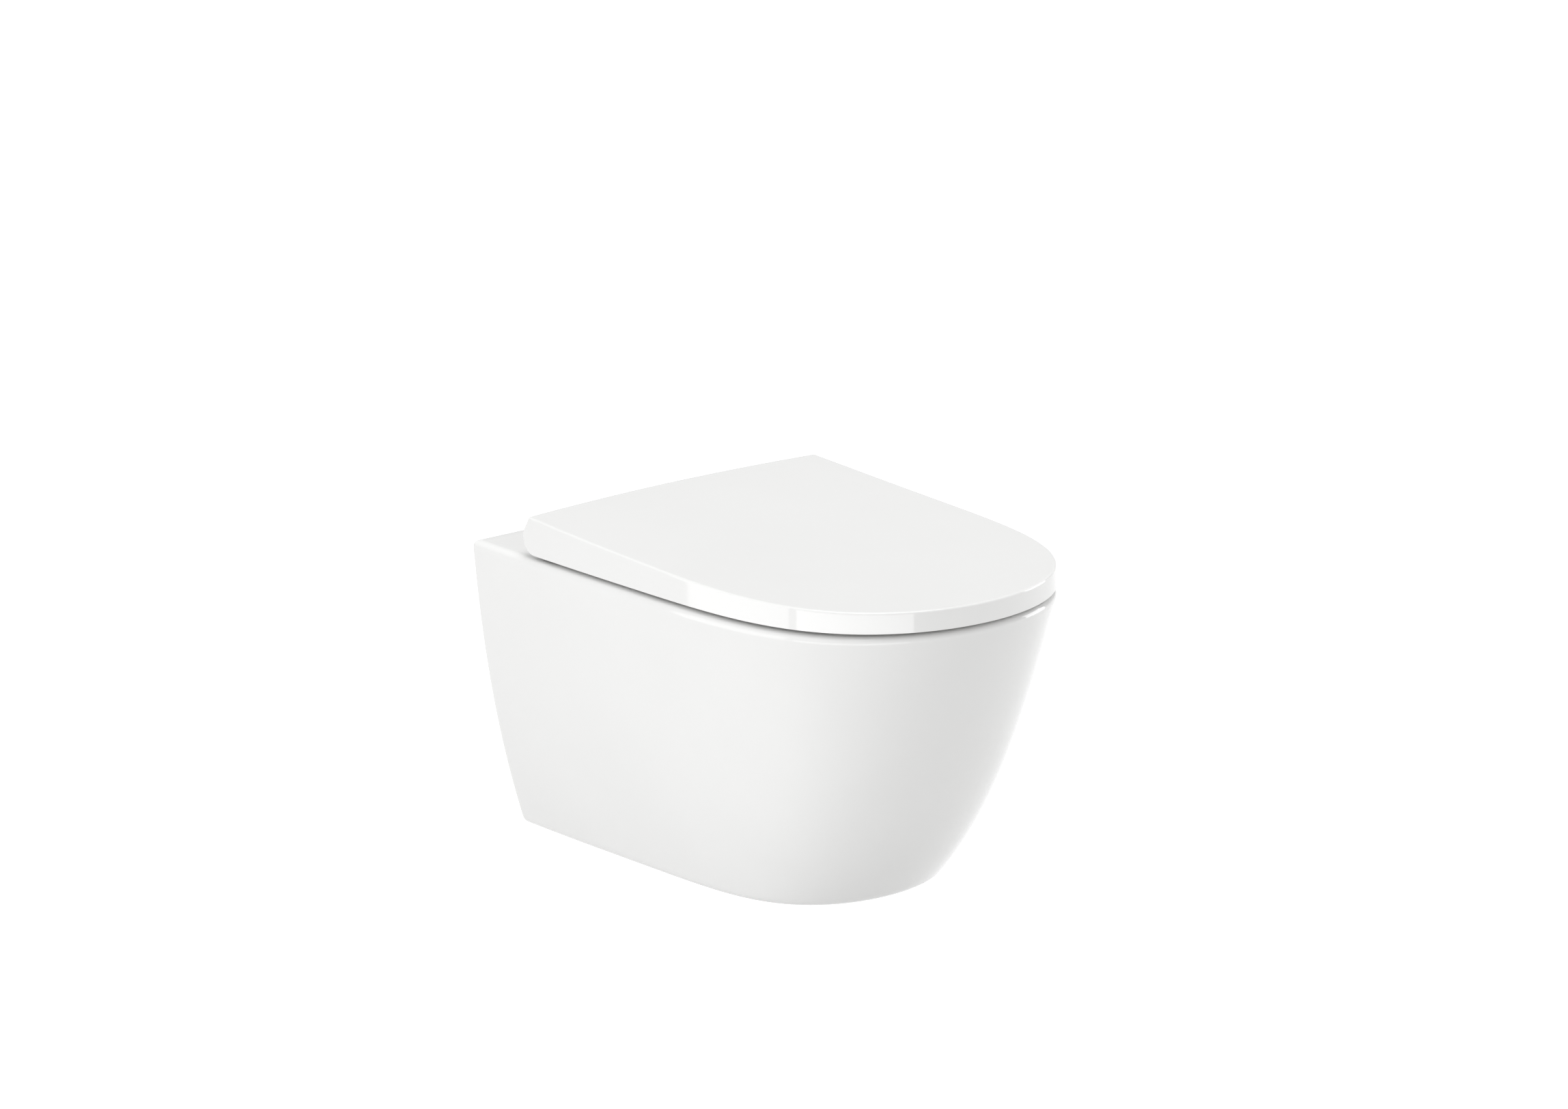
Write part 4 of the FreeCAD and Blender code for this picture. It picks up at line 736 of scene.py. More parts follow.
def lid_cover():
    """The shell with its hinge knuckles, ribs and buffer bosses, notched where the hinge covers stand."""
    extra, space, ways = [], [], []
    knuckle = soft_bar(KNUCKLE_RADIUS, KNUCKLE_END - KNUCKLE_START, BAR_EDGE)
    rib_top = float(lid_top(0.0, HINGE_DEPTH)) - LID_WALL / 2 - 1.2
    notch = COVER_START - 1.0
    angle = np.linspace(-np.pi / 2, np.pi / 2, 49) * 0.8
    arc = np.stack([HINGE_DEPTH - REAR_WAY_RADIUS * np.cos(angle),
                    HINGE_HEIGHT + REAR_WAY_RADIUS * np.sin(angle)], -1)
    arc = arc[arc[:, 0] < HINGE_DEPTH - 6.0]
    for (x, depth), (_, side) in zip(LID_FEET, SIDES):
        extra.append(axis_turned("knuckle", knuckle, KNUCKLE_START, side))
        low, high = span(side, KNUCKLE_START + 0.4, KNUCKLE_END - 0.4)
        extra.append(brick("rib", (low, -HINGE_DEPTH - RIB_HALF, HINGE_HEIGHT),
                           (high, -HINGE_DEPTH + RIB_HALF, rib_top)))
        extra.append(upright_rod("boss", BOSS_RADIUS, x, depth, SEAT_HIGH + 1.7, LID_LOW + 17.5, 32))
        ways.append(upright_rod("stem_way", 2.05, x, depth, SEAT_HIGH, SEAT_HIGH + 4.15, 24))
        ways.append(axis_rod("shaft_way", SHAFT_HOLE, KNUCKLE_START - 5.0, KNUCKLE_END, side, 32))
        space.append(axis_rod("cover_way", COVER_WAY_RADIUS, notch, KNUCKLE_START, side, 96))
        low, high = span(side, notch, KNUCKLE_START)
        space.append(side_prism("rear_way", arc, low, high))
        space.append(brick("button_way", (low, -HINGE_DEPTH, RIM - 1.0), (high, 0.0, HINGE_HEIGHT)))
    cover = carve(carve(lid_shell(), space), extra, "UNION")
    return healed(carve(cover, ways), LID_SLIVER)


def side_prism(name, outline, low, high, edge=0.0, centre=None):
    """An outline of (depth, z) rows pushed across the pan from x low to x high.

    With an edge both ends are rounded by it: the outline shrinks towards the centre along a quarter circle.
    """
    outline = np.asarray(outline, float)
    centre = outline.mean(0) if centre is None else np.asarray(centre, float)
    inset, rise = quarter(edge, 5 if edge else 1)
    across = np.concatenate([(low + edge - rise)[::-1], high - edge + rise])
    inset = np.concatenate([inset[::-1], inset])
    reach = np.hypot(*(outline - centre).T)[None, :, None]
    flat = centre + (outline - centre) * (1 - inset[:, None, None] / reach)
    rings = np.stack([np.broadcast_to(across[:, None], flat.shape[:2]), -flat[..., 0], flat[..., 1]], -1)
    tips = [(x, -centre[0], centre[1]) for x in (across[0], across[-1])]
    return rings_mesh(name, rings, *tips)


# ---------------- seat

SEAT_CENTRE = 322.0  # widest line of the opening
SEAT_MARGIN = 5.6  # lid's outside to the seat's
SEAT_REAR = 111.0
SEAT_CORNER = 12.0
SEAT_LOW_ROUND = 1.5
SEAT_OUTER_ROUND = 5.0
SEAT_HOLE_ROUND = 8.0
HOLE_HALF = 111.0
HOLE_FRONT = 462.0
HOLE_BACK = 188.0
SEAT_SHARES = (0.2, 0.4, 0.6, 0.8)  # rings between outline and opening
SEAT_FEET = [(side * 150.0, 250.0) for _, side in SIDES] + [(side * 78.0, 484.0) for _, side in SIDES]
LUG_RADIUS = 11.5
LUG_START, LUG_END = 97.5, 121.5  # middle to the two ends of a seat's hinge lug
BUSH_HOLE = 5.6


def seat_edge(high_round):
    """Insets and heights up an edge of the seat: its lower round, a straight part, its upper round."""
    in_low, up_low = quarter(SEAT_LOW_ROUND, 5)
    in_high, up_high = quarter(high_round, 9)
    low, high = SEAT_LOW + SEAT_LOW_ROUND, SEAT_HIGH - high_round
    middle = np.linspace(low, high, 4)[1:-1]
    inset = np.concatenate([in_low[::-1], 0 * middle, in_high])
    return inset, column(np.concatenate([low - up_low[::-1], middle, high + up_high]))


def seat_ring():
    """A ring between the seat's outline and its opening; each edge has its own rounding."""
    inset, outer_z = seat_edge(SEAT_OUTER_ROUND)
    edge = SEAT_MARGIN + inset
    outer = horseshoe(LID_HALF - edge, RIM_LENGTH - edge, RIM_SHOULDER, RIM_SQUARENESS, RIM_TAPER,
                      SEAT_REAR + inset, np.maximum(SEAT_CORNER - inset, LEAST_CORNER))
    angle = around_centre(outer[0][:1], outer[1][:1], SEAT_CENTRE)
    inset, hole_z = seat_edge(SEAT_HOLE_ROUND)
    hole = oval_towards(angle, HOLE_HALF + inset, HOLE_FRONT + inset, SEAT_CENTRE, HOLE_BACK - inset)
    share = column(SEAT_SHARES)
    top = [rim[-1] + (mouth[-1] - rim[-1]) * share for rim, mouth in zip(outer, hole)]
    bottom = [mouth[0] + (rim[0] - mouth[0]) * share for rim, mouth in zip(outer, hole)]
    rings = [
        both_sides(*outer, outer_z),
        both_sides(*top, SEAT_HIGH),
        both_sides(hole[0][::-1], hole[1][::-1], hole_z[::-1]),
        both_sides(*bottom, SEAT_LOW),
    ]
    return rings_mesh("seat_moulding", np.concatenate(rings), tube=True)


def seat_moulding():
    """The ring with its two hinge lugs, bored for the bushes and the buffers' stems."""
    extra, ways = [], []
    lug = soft_bar(LUG_RADIUS, LUG_END - LUG_START, BAR_EDGE)
    for _, side in SIDES:
        extra.append(axis_turned("lug", lug, LUG_START, side))
        low, high = span(side, LUG_START + 0.4, LUG_END - 0.4)
        extra.append(brick("web", (low, -SEAT_REAR - 13.0, SEAT_LOW + 0.3),
                           (high, -HINGE_DEPTH, SEAT_HIGH - 0.3)))
        ways.append(axis_rod("bush_way", BUSH_HOLE, LUG_START - 5.0, LUG_END + 5.0, side, 48))
    for x, depth in SEAT_FEET:
        ways.append(upright_rod("stem_way", 2.55, x, depth, SEAT_LOW - 5.0, SEAT_LOW + 5.3, 24))
    return carve(carve(seat_ring(), extra, "UNION"), ways)


# ---------------- fixings and hinges

BASE_TOP = RIM + 3.0  # top of the steel discs on the deck
PLAY = 0.3  # room round a moving or pushed-in piece
COVER_RADIUS = 14.5
COVER_BACK = 9.5  # hinge axis to the rear of the cover's foot
DAMPER_START, DAMPER_LENGTH = 66.0, 31.0
DAMPER_RADIUS = 6.0
BUTTON_HALF = 8.5
BUTTON_RISE = 2.5  # half its height
BUTTON_TRAVEL = 2.5
HEAD_START, HEAD_END = 8.0, 12.7  # hinge axis to the two faces of the button's head
LATCH_FRONT, LATCH_BACK = 8.5, 9.0  # hinge axis to the two ends of the latch plate
LATCH_LOW, LATCH_HIGH = BASE_TOP + 3.3, BASE_TOP + 5.3
LATCH_MIDDLE = BASE_TOP + 4.3
WINDOW_START, WINDOW_END = 5.2, 16.0  # hinge axis to the two ends of the button's window
POST_WAY_RADIUS = 6.1
SPRING_WAY_RADIUS = 2.4
EYE_RADIUS = 6.3
COIL_FRONT, COIL_BACK = 8.7, 12.5  # hinge axis to the spring's two ends
COIL_WIRE = 0.3
COIL_RADIUS = 1.8
COIL_CLOSED = 0.62  # advance of each closed turn
SPREADER_RADIUS = 24.7
SPREADER_WALL = 2.5
SPREADER_START = 72.0  # wall to its open end
SPREADER_LENGTH = 72.0
SPREADER_PLATE = 3.0


def rounded_profile(rows, edge, steps=4):
    """A closed loop of (radius, height) rows whose corners are rounded by arcs of about the edge."""
    rows = np.asarray(rows, float)
    before, after = np.roll(rows, 1, 0) - rows, np.roll(rows, -1, 0) - rows
    reach = np.minimum(np.hypot(*before.T), np.hypot(*after.T)) / 2.2
    cut = np.minimum(edge, reach)[:, None]
    start = rows + before / np.hypot(*before.T)[:, None] * cut
    end = rows + after / np.hypot(*after.T)[:, None] * cut
    t = np.linspace(0.0, 1.0, steps)[None, :, None]
    curve = start[:, None] * (1 - t) ** 2 + 2 * rows[:, None] * t * (1 - t) + end[:, None] * t**2
    return curve.reshape(-1, 2)


def ring_piece(name, rows, base, way=(0, 0, 1), edge=0.2, around=64):
    """A bored piece: a closed profile with softened corners, turned about an axis."""
    return turned(name, rounded_profile(rows, edge), base, way, around, True)


def ridges(radius, core, start, end, pitch):
    """Profile rows of a thread seen from the side: a saw of crests and roots at the pitch."""
    crests = np.arange(start + pitch / 2, end - pitch / 2, pitch)
    rows = np.stack([np.stack([np.full(len(crests), core), crests - pitch / 2], -1),
                     np.stack([np.full(len(crests), radius), crests], -1)], 1).reshape(-1, 2)
    return np.concatenate([rows, [(core, crests[-1] + pitch / 2)]])


def socket_screw(name, base, way, head_rows, radius, core, thread, pitch, key_width, key_depth):
    """A screw: point, thread, plain neck and head, with a hexagon socket cut into the head."""
    rows = np.concatenate([[(core - 0.6, 0.0)], ridges(radius, core, 0.6, thread, pitch), head_rows])
    screw = turned(name, rows, base, way, 48)
    start = np.asarray(base, float) + np.asarray(way, float) * (head_rows[-1][1] - key_depth)
    corner = key_width / 2 / math.cos(math.pi / 6)
    return carve(screw, [turned("key", [(corner, 0.0), (corner, key_depth + 2.0)], start, way, 6)])


def joined(name, things):
    """Several closed surfaces as one piece."""
    whole = bmesh.new()
    for thing in things:
        whole.from_mesh(thing.data)
        bpy.data.objects.remove(thing)
    mesh = bpy.data.meshes.new(name)
    whole.to_mesh(mesh)
    whole.free()
    result = bpy.data.objects.new(name, mesh)
    bpy.context.scene.collection.objects.link(result)
    return result


def foot(name, place, radius, thick, low, stem_radius, stem):
    """A rubber buffer: a pad with a softened rim and a stem on top of it."""
    rows = np.concatenate([
        soft_bar(radius, thick, min(1.2, thick / 2.5)),
        [(stem_radius, thick), (stem_radius, thick + stem - 0.4), (stem_radius - 0.4, thick + stem)],
    ])
    return turned(name, rows, (place[0], -place[1], low), around=48)


def soft_brick(name, low, high, edge):
    """A box with rounded edges: a rounded rectangle in x and z, drawn in at both ends in y."""
    low, high = np.asarray(low, float), np.asarray(high, float)
    middle, half = (low + high) / 2, (high - low) / 2
    turn = np.linspace(0.0, np.pi / 2, 5)
    corner = np.concatenate([turn + quarter_turn * np.pi / 2 for quarter_turn in range(4)])
    signs = np.repeat([(1, 1), (-1, 1), (-1, -1), (1, -1)], 5, 0)
    inset, rise = quarter(edge, 5)
    y = np.concatenate([(low[1] + edge - rise)[::-1], high[1] - edge + rise])
    inset = np.concatenate([inset[::-1], inset])[:, None]
    x = middle[0] + signs[:, 0] * (half[0] - edge) + (edge - inset) * np.cos(corner)
    z = middle[2] + signs[:, 1] * (half[2] - edge) + (edge - inset) * np.sin(corner)
    rings = np.stack([x, np.broadcast_to(y[:, None], x.shape), z], -1)
    return capped(name, rings)


def hinge_cover(name, side):
    """The moulded hinge block: a barrel on a narrower foot, bored for the damper, the post and the latch."""
    angle = np.linspace(math.asin(COVER_BACK / COVER_RADIUS), np.pi * 1.5, 49)
    depth = HINGE_DEPTH - COVER_RADIUS * np.sin(angle)
    z = HINGE_HEIGHT - COVER_RADIUS * np.cos(angle)
    front, back, foot_low = HINGE_DEPTH + COVER_RADIUS, HINGE_DEPTH - COVER_BACK, BASE_TOP + PLAY
    low_edge = [(front, foot_low + 1), (front - 1, foot_low), (back + 1, foot_low), (back, foot_low + 1)]
    outline = np.concatenate([np.stack([depth, z], -1), low_edge])
    low, high = span(side, COVER_START, COVER_END)
    block = side_prism(name, outline, low, high, 1.0, (HINGE_DEPTH, HINGE_HEIGHT - 2.0))
    x, y, z = side * HINGE_SIDE, -HINGE_DEPTH, LATCH_MIDDLE
    low, high, rise = x - BUTTON_HALF - PLAY, x + BUTTON_HALF + PLAY, BUTTON_RISE + PLAY
    front = y - LATCH_FRONT - BUTTON_TRAVEL - PLAY
    damper_end = DAMPER_START + DAMPER_LENGTH + 5.0
    return carve(block, [
        axis_rod("damper_way", DAMPER_RADIUS + 0.05, DAMPER_START, damper_end, side, 48),
        upright_rod("post_way", POST_WAY_RADIUS, x, HINGE_DEPTH, BASE_TOP - 1.0, BASE_TOP + 9.0, 48),
        brick("latch_way", (low, front, LATCH_LOW - PLAY), (high, y + LATCH_BACK + 0.5, LATCH_HIGH + PLAY)),
        brick("window", (low, y + WINDOW_START, z - rise), (high, y + WINDOW_END, z + rise)),
        rod("spring_way", SPRING_WAY_RADIUS, (x, y - LATCH_FRONT, z), (x, y - COIL_BACK - 0.2, z), 32),
    ])


def push_button(name, side):
    """The release button: a softened head and a latch plate with a slotted eye round the post."""
    x, y = side * HINGE_SIDE, -HINGE_DEPTH
    low, high = x - BUTTON_HALF, x + BUTTON_HALF
    head_low, head_high = LATCH_MIDDLE - BUTTON_RISE, LATCH_MIDDLE + BUTTON_RISE
    head = soft_brick(name, (low, y + HEAD_START, head_low), (high, y + HEAD_END, head_high), 0.9)
    plate = soft_brick("plate", (low, y - LATCH_FRONT, LATCH_LOW), (high, y + LATCH_BACK, LATCH_HIGH), 0.3)
    angle = np.linspace(0.0, 2 * np.pi, 49)[:-1]
    slot = np.where(np.sin(angle) > 0, BUTTON_TRAVEL, 0.0)
    loop = np.stack([x + EYE_RADIUS * np.cos(angle), y + EYE_RADIUS * np.sin(angle) + slot], -1)
    ends = (LATCH_LOW - 5.0, LATCH_LOW + 5.0)
    rings = np.stack([np.column_stack([loop, np.full(len(loop), z)]) for z in ends])
    return carve(carve(head, [plate], "UNION"), [capped("eye", rings)])


def latch_coil(name, side):
    """The spring behind the latch: round wire along a helix of four turns, the first and last closed up.

    A point of the wire's middle line is the radius times the turn's cosine and sine, set back by a
    share of the length that grows slowly in the closed turns and evenly in the two open ones.
    """
    angle = column(np.linspace(0.0, 8.0 * np.pi, 193))
    round_wire = np.arange(12) * 2 * np.pi / 12
    run = COIL_BACK - COIL_FRONT - 2 * COIL_WIRE
    back = np.interp(angle / (2 * np.pi), [0, 1, 3, 4], [0, COIL_CLOSED, run - COIL_CLOSED, run])
    out = COIL_RADIUS + COIL_WIRE * np.cos(round_wire)
    y = -HINGE_DEPTH - (COIL_FRONT + COIL_WIRE + back) - COIL_WIRE * np.sin(round_wire)
    x, z = side * HINGE_SIDE + out * np.cos(angle), LATCH_MIDDLE + out * np.sin(angle)
    return capped(name, np.stack([x, y, z], -1))


def water_spreader():
    """The insert in the duct: a tube with a rounded front plate, open to the left, the right and down."""
    radius, end, inside = SPREADER_RADIUS, SPREADER_LENGTH, SPREADER_RADIUS - SPREADER_WALL
    plate = end - SPREADER_PLATE
    rows = [(radius, 0.0), (radius, end - 1.5), (radius - 0.6, end - 0.3), (radius - 1.5, end),
            (0.4, end), (0.4, plate), (inside, plate), (inside, 0.0)]
    tube = turned("water_spreader", rows, (0, -SPREADER_START, INLET_HEIGHT), (0, -1, 0), 96, True)
    front = -SPREADER_START - plate
    back = front + 8.7
    return carve(tube, [
        brick("spouts", (-40.0, front, INLET_HEIGHT - 11.0), (40.0, back, INLET_HEIGHT + 11.0)),
        brick("lower_spout", (-11.0, front, INLET_HEIGHT - 40.0), (11.0, back, INLET_HEIGHT)),
    ])


# ---------------- materials


def linear(code):
    """An sRGB hex colour as linear red, green, blue and alpha."""
    parts = [int(code[start:start + 2], 16) / 255 for start in (1, 3, 5)]
    return [part / 12.92 if part <= 0.04045 else ((part + 0.055) / 1.055) ** 2.4 for part in parts] + [1.0]


def add(tree, kind, settings=None, inputs=None):
    """Adds a node, sets its settings, and sets or links its inputs."""
    node = tree.nodes.new(kind)
    for key, value in (settings or {}).items():
        setattr(node, key, value)
    for key, value in (inputs or {}).items():
        if isinstance(value, bpy.types.NodeSocket):
            tree.links.new(value, node.inputs[key])
        else:
            node.inputs[key].default_value = value
    return node


def new_material(name):
    """An empty material, its node tree, and its output node."""
    material = bpy.data.materials.new(name)
    material.use_nodes = True
    material.node_tree.nodes.clear()
    output = add(material.node_tree, "ShaderNodeOutputMaterial")
    return material, material.node_tree, output


def finish_of(name, tones, patch, grain, height, shader, stretch=(1.0, 1.0, 1.0), swell=None):
    """A surface whose colour drifts between two tones over patches and whose grain stands out a little.

    patch, grain and height are millimetres; stretch draws the grain out along an axis, as brushing
    does; swell is a long soft ripple, as (length, height). shader holds the even values of the finish.
    """
    material, tree, output = new_material(name)
    place = add(tree, "ShaderNodeTexCoord").outputs["Object"]
    drawn = add(tree, "ShaderNodeMapping", inputs={"Vector": place, "Scale": stretch}).outputs["Vector"]
    fine = add(tree, "ShaderNodeTexNoise",
               inputs={"Vector": drawn, "Scale": 1 / (grain * MM), "Detail": 2.0})
    normal = {}
    if swell:
        length, rise = swell
        long = add(tree, "ShaderNodeTexNoise",
                   inputs={"Vector": place, "Scale": 1 / (length * MM), "Detail": 1.0})
        wave = add(tree, "ShaderNodeBump",
                   inputs={"Height": long.outputs["Fac"], "Strength": 0.5, "Distance": rise * MM})
        normal = {"Normal": wave.outputs["Normal"]}
    relief = add(tree, "ShaderNodeBump",
                 inputs={"Height": fine.outputs["Fac"], "Strength": 0.4, "Distance": height * MM, **normal})
    drift = add(tree, "ShaderNodeTexNoise",
                inputs={"Vector": place, "Scale": 1 / (patch * MM), "Detail": 3.0})
    both = add(tree, "ShaderNodeMath", {"operation": "MULTIPLY_ADD"},
               {0: fine.outputs["Fac"], 1: 0.25, 2: drift.outputs["Fac"]})
    shade = add(tree, "ShaderNodeMix", {"data_type": "RGBA"},
                {"Factor": both.outputs["Value"], "A": linear(tones[0]), "B": linear(tones[1])})
    surface = add(tree, "ShaderNodeBsdfPrincipled", inputs={
        "Base Color": shade.outputs["Result"], "Normal": relief.outputs["Normal"], **shader})
    tree.links.new(surface.outputs["BSDF"], output.inputs["Surface"])
    return material


WHITE = ("#EDEDEC", "#F2F2F1")

# Pressed urea moulding, polished tool: as white as the glaze, flatter and a little softer in its gloss.
pressed_urea = finish_of(
    "pressed_urea", WHITE, 160, 1.2, 0.003, {"Roughness": 0.06, "IOR": 1.54}, swell=(90, 0.02))

# The finish of each slot.
FINISHES = {
    # White glaze fused to a white clay body: glassy, with a slow ripple in its reflections and fine peel.
    "vitreous_china": finish_of(
        "glazed_vitreous_china", WHITE, 120, 2.5, 0.006, {"Roughness": 0.05, "IOR": 1.52}, swell=(55, 0.10)),
    "seat_thermoset": pressed_urea,
    "lid_thermoset": pressed_urea,
    # Injected polypropylene: milky and waxy.
    "distributor_plastic": finish_of(
        "milky_polypropylene", ("#D9DAD8", "#E4E5E3"), 25, 0.8, 0.02,
        {"Roughness": 0.42, "IOR": 1.49, "Subsurface Weight": 0.15, "Subsurface Radius": (2 * MM,) * 3}),
    # Natural nylon with glass fibre: bone coloured, dull, faintly mottled.
    "nylon": finish_of(
        "natural_nylon", ("#C9C5B6", "#D8D4C6"), 8, 0.7, 0.05, {"Roughness": 0.5, "IOR": 1.53}),
    # Zinc plated steel: pale bluish grey with soft cloudy patches.
    "zinc_plated_steel": finish_of(
        "zinc_plated_steel", ("#AEB3BA", "#C6C6BE"), 3, 0.4, 0.008, {"Roughness": 0.33, "Metallic": 1.0}),
    # Brushed stainless steel: fine lines drawn out across the part, coarser than real so that they show.
    "stainless_steel": finish_of(
        "brushed_stainless", ("#B9B9B7", "#CFCFCD"), 15, 0.35, 0.012, {"Roughness": 0.27, "Metallic": 1.0},
        stretch=(0.06, 1.0, 1.0)),
    # EPDM rubber: nearly black, dull, with a dusty bloom and the tool's grain.
    "rubber": finish_of(
        "moulded_rubber", ("#1C1C1C", "#2C2C2B"), 9, 0.5, 0.04, {"Roughness": 0.72, "IOR": 1.52}),
    # Turned brass: warm yellow, with fine tool marks along its length.
    "brass": finish_of(
        "turned_brass", ("#C29B52", "#D6B26A"), 6, 0.3, 0.015, {"Roughness": 0.28, "Metallic": 1.0},
        stretch=(0.2, 0.2, 1.0)),
    # Injected ABS from a lightly sparked tool: white, satin, with a fine even grain.
    "hinge_plastic": finish_of(
        "satin_abs", ("#E6E6E4", "#ECECEA"), 30, 0.5, 0.02, {"Roughness": 0.34, "IOR": 1.53}),
    # Acetal damper barrels: dark grey and waxy.
    "damper_plastic": finish_of(
        "dark_acetal", ("#3A3C3E", "#46484A"), 12, 0.6, 0.02, {"Roughness": 0.38, "IOR": 1.48}),
    # Acetal bushes, natural white.
    "bush_plastic": finish_of(
        "white_acetal", ("#DCDCD8", "#E8E8E4"), 12, 0.6, 0.01, {"Roughness": 0.36, "IOR": 1.48}),
    # Spring steel wire, drawn and oiled: dark grey metal.
    "spring_steel": finish_of(
        "spring_wire", ("#7E8083", "#96989B"), 3, 0.2, 0.004, {"Roughness": 0.3, "Metallic": 1.0}),
}


# ---------------- pieces


def finish_piece(thing, body, slot, node, flat_levels=()):
    """Gives a piece its shading, smooth save at flat levels, its slot's material and its body, and hides the
    CAD node that it replaces.
    """
    smooth(thing)
    for level in flat_levels:
        for face in thing.data.polygons:
            if abs(face.center.z / MM - level) < 0.01:
                face.use_smooth = False
    thing.data.materials.clear()
    thing.data.materials.append(FINISHES[slot])
    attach(thing, body)
    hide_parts(node)
    return thing


def dress():
    """Makes every piece, one after the other, with its body and the finish of its slot."""
    # Slivers along the cuts in the hollow's floor and ceiling would bend smooth shading there.
    finish_piece(pan_china(), "root", "vitreous_china", "pan", HOLLOW_LEVELS)
    finish_piece(lid_cover(), "lid", "lid_thermoset", "lid")
    finish_piece(seat_moulding(), "seat", "seat_thermoset", "seat_ring")
    finish_piece(water_spreader(), "root", "distributor_plastic", "flush_distributor")
    feet = [foot("foot", place, 9.0, 4.2, RIM + PLAY, 2.5, 5.0) for place in SEAT_FEET]
    finish_piece(joined("seat_feet", feet), "seat", "rubber", "seat_buffers")
    feet = [foot("foot", place, 6.0, 1.4, SEAT_HIGH + PLAY, 2.0, 2.4) for place in LID_FEET]
    finish_piece(joined("lid_feet", feet), "lid", "rubber", "lid_buffers")
    for name, side in SIDES:
        seat_fixing(name, side)
        wall_fixing(name, side)
        hinge(name, side)
        spring = finish_piece(latch_coil("latch_coil_" + name, side), "seat_mount", "spring_steel",
                              "latch_spring_" + name)
        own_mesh(spring)


SCREW_HOLE = 3.05
SCREW_RADIUS = 3.0
SCREW_LENGTH = 55.0
WASHER_RADIUS = 19.0
DISC_RADIUS = 20.0
POST_RADIUS = 6.0
POST_NECK = 4.5  # where the latch plate's eye grips it
SLEEVE_LENGTH = 36.0
SLEEVE_RADIUS = 7.2
SLEEVE_GRIPS = 21
CONE_RADIUS = 5.5
CONE_BELOW = 6.0  # how far the cone nut hangs under its sleeve


def seat_fixing(name, side):
    """Washer, steel disc, post and screw above the deck; rubber sleeve and cone nut below it."""
    at = (side * HINGE_SIDE, -HINGE_DEPTH)
    hole = SCREW_HOLE
    rows = [(hole, 0), (WASHER_RADIUS, 0), (WASHER_RADIUS, 1), (hole, 1)]
    washer = ring_piece("washer_" + name, rows, (*at, RIM), edge=0.35)
    finish_piece(washer, "root", "rubber", "base_gasket_" + name)
    rows = [(hole, 0), (DISC_RADIUS, 0), (DISC_RADIUS, 1), (DISC_RADIUS - 1, 2), (hole, 2)]
    disc = ring_piece("base_disc_" + name, rows, (*at, RIM + 1), edge=0.5, around=96)
    finish_piece(disc, "root", "stainless_steel", "hinge_base_" + name)
    radius, neck = POST_RADIUS, POST_NECK
    rows = [(hole, 0), (radius, 0), (radius, 3), (neck, 3), (neck, 5.6), (radius, 5.6), (radius, 8.2),
            (radius - 0.5, 8.7), (radius - 0.75, 8.7), (hole, 6.3)]
    post = ring_piece("seat_post_" + name, rows, (*at, BASE_TOP), edge=0.25)
    finish_piece(post, "root", "stainless_steel", "hinge_post_" + name)
    head = [(SCREW_RADIUS, SCREW_LENGTH - 1), (SCREW_RADIUS, SCREW_LENGTH), (5.2, SCREW_LENGTH + 2.4)]
    screw = socket_screw("post_screw_" + name, (*at, BASE_TOP + 6.3 - SCREW_LENGTH), (0, 0, 1), head,
                         SCREW_RADIUS, 2.6, thread=50.0, pitch=1.0, key_width=4.0, key_depth=2.0)
    finish_piece(screw, "root", "stainless_steel", "hinge_screw_" + name)
    radius, length = SLEEVE_RADIUS, SLEEVE_LENGTH
    grip = [(radius - 0.3 * (step % 2), 3.0 + step * 1.5) for step in range(SLEEVE_GRIPS)]
    rows = [(CONE_RADIUS, 0), (radius, 0), *grip, (radius, length), (3.4, length), (3.4, 9)]
    sleeve = ring_piece("grip_sleeve_" + name, rows, (*at, RIM - length), edge=0.3)
    finish_piece(sleeve, "root", "rubber", "expansion_sleeve_" + name)
    radius = CONE_RADIUS
    rows = [(hole, 0), (radius, 0), (radius, 5.7), (radius - 0.3, 6.0), (3.57, 13), (hole, 13)]
    nut = ring_piece("pulling_cone_" + name, rows, (*at, RIM - length - CONE_BELOW), edge=0.3)
    finish_piece(nut, "root", "brass", "cone_nut_" + name)


STUD_HOLE = 6.5
BLOCK_RADIUS = 16.7
BLOCK_LENGTH = 64.0
LOCK_RADIUS = 4.0
LOCK_START = -7.0  # the locking screw's point
LOCK_THREAD = 17.0
LOCK_HEAD = 7.0


def wall_fixing(name, side):
    """The nylon block in its channel and the screw that locks it from below."""
    x = side * STUD_SIDE
    rows = [(STUD_HOLE, 0), (BLOCK_RADIUS, 0), (BLOCK_RADIUS, BLOCK_LENGTH), (STUD_HOLE, BLOCK_LENGTH)]
    block = ring_piece("stud_block_" + name, rows, (x, 0, 0), (0, -1, 0), 1.2, 96)
    block = carve(block, [upright_rod("screw_way", LOCK_RADIUS + 0.05, x, LOCK_DEPTH, 0, -26.0, 32)])
    finish_piece(block, "root", "nylon", "fixing_block_" + name)
    radius, head, neck = LOCK_RADIUS, LOCK_HEAD, LOCK_THREAD + 1.0
    rows = [(radius, neck - 0.5), (radius, neck), (head - 0.4, neck), (head, neck + 0.4),
            (head, neck + 5.4), (head - 0.6, neck + 6.0)]
    screw = socket_screw("block_screw_" + name, (x, -LOCK_DEPTH, LOCK_START), (0, 0, -1), rows,
                         radius, 3.45, thread=LOCK_THREAD, pitch=1.25, key_width=6.0, key_depth=4.0)
    finish_piece(screw, "root", "zinc_plated_steel", "locking_screw_" + name)


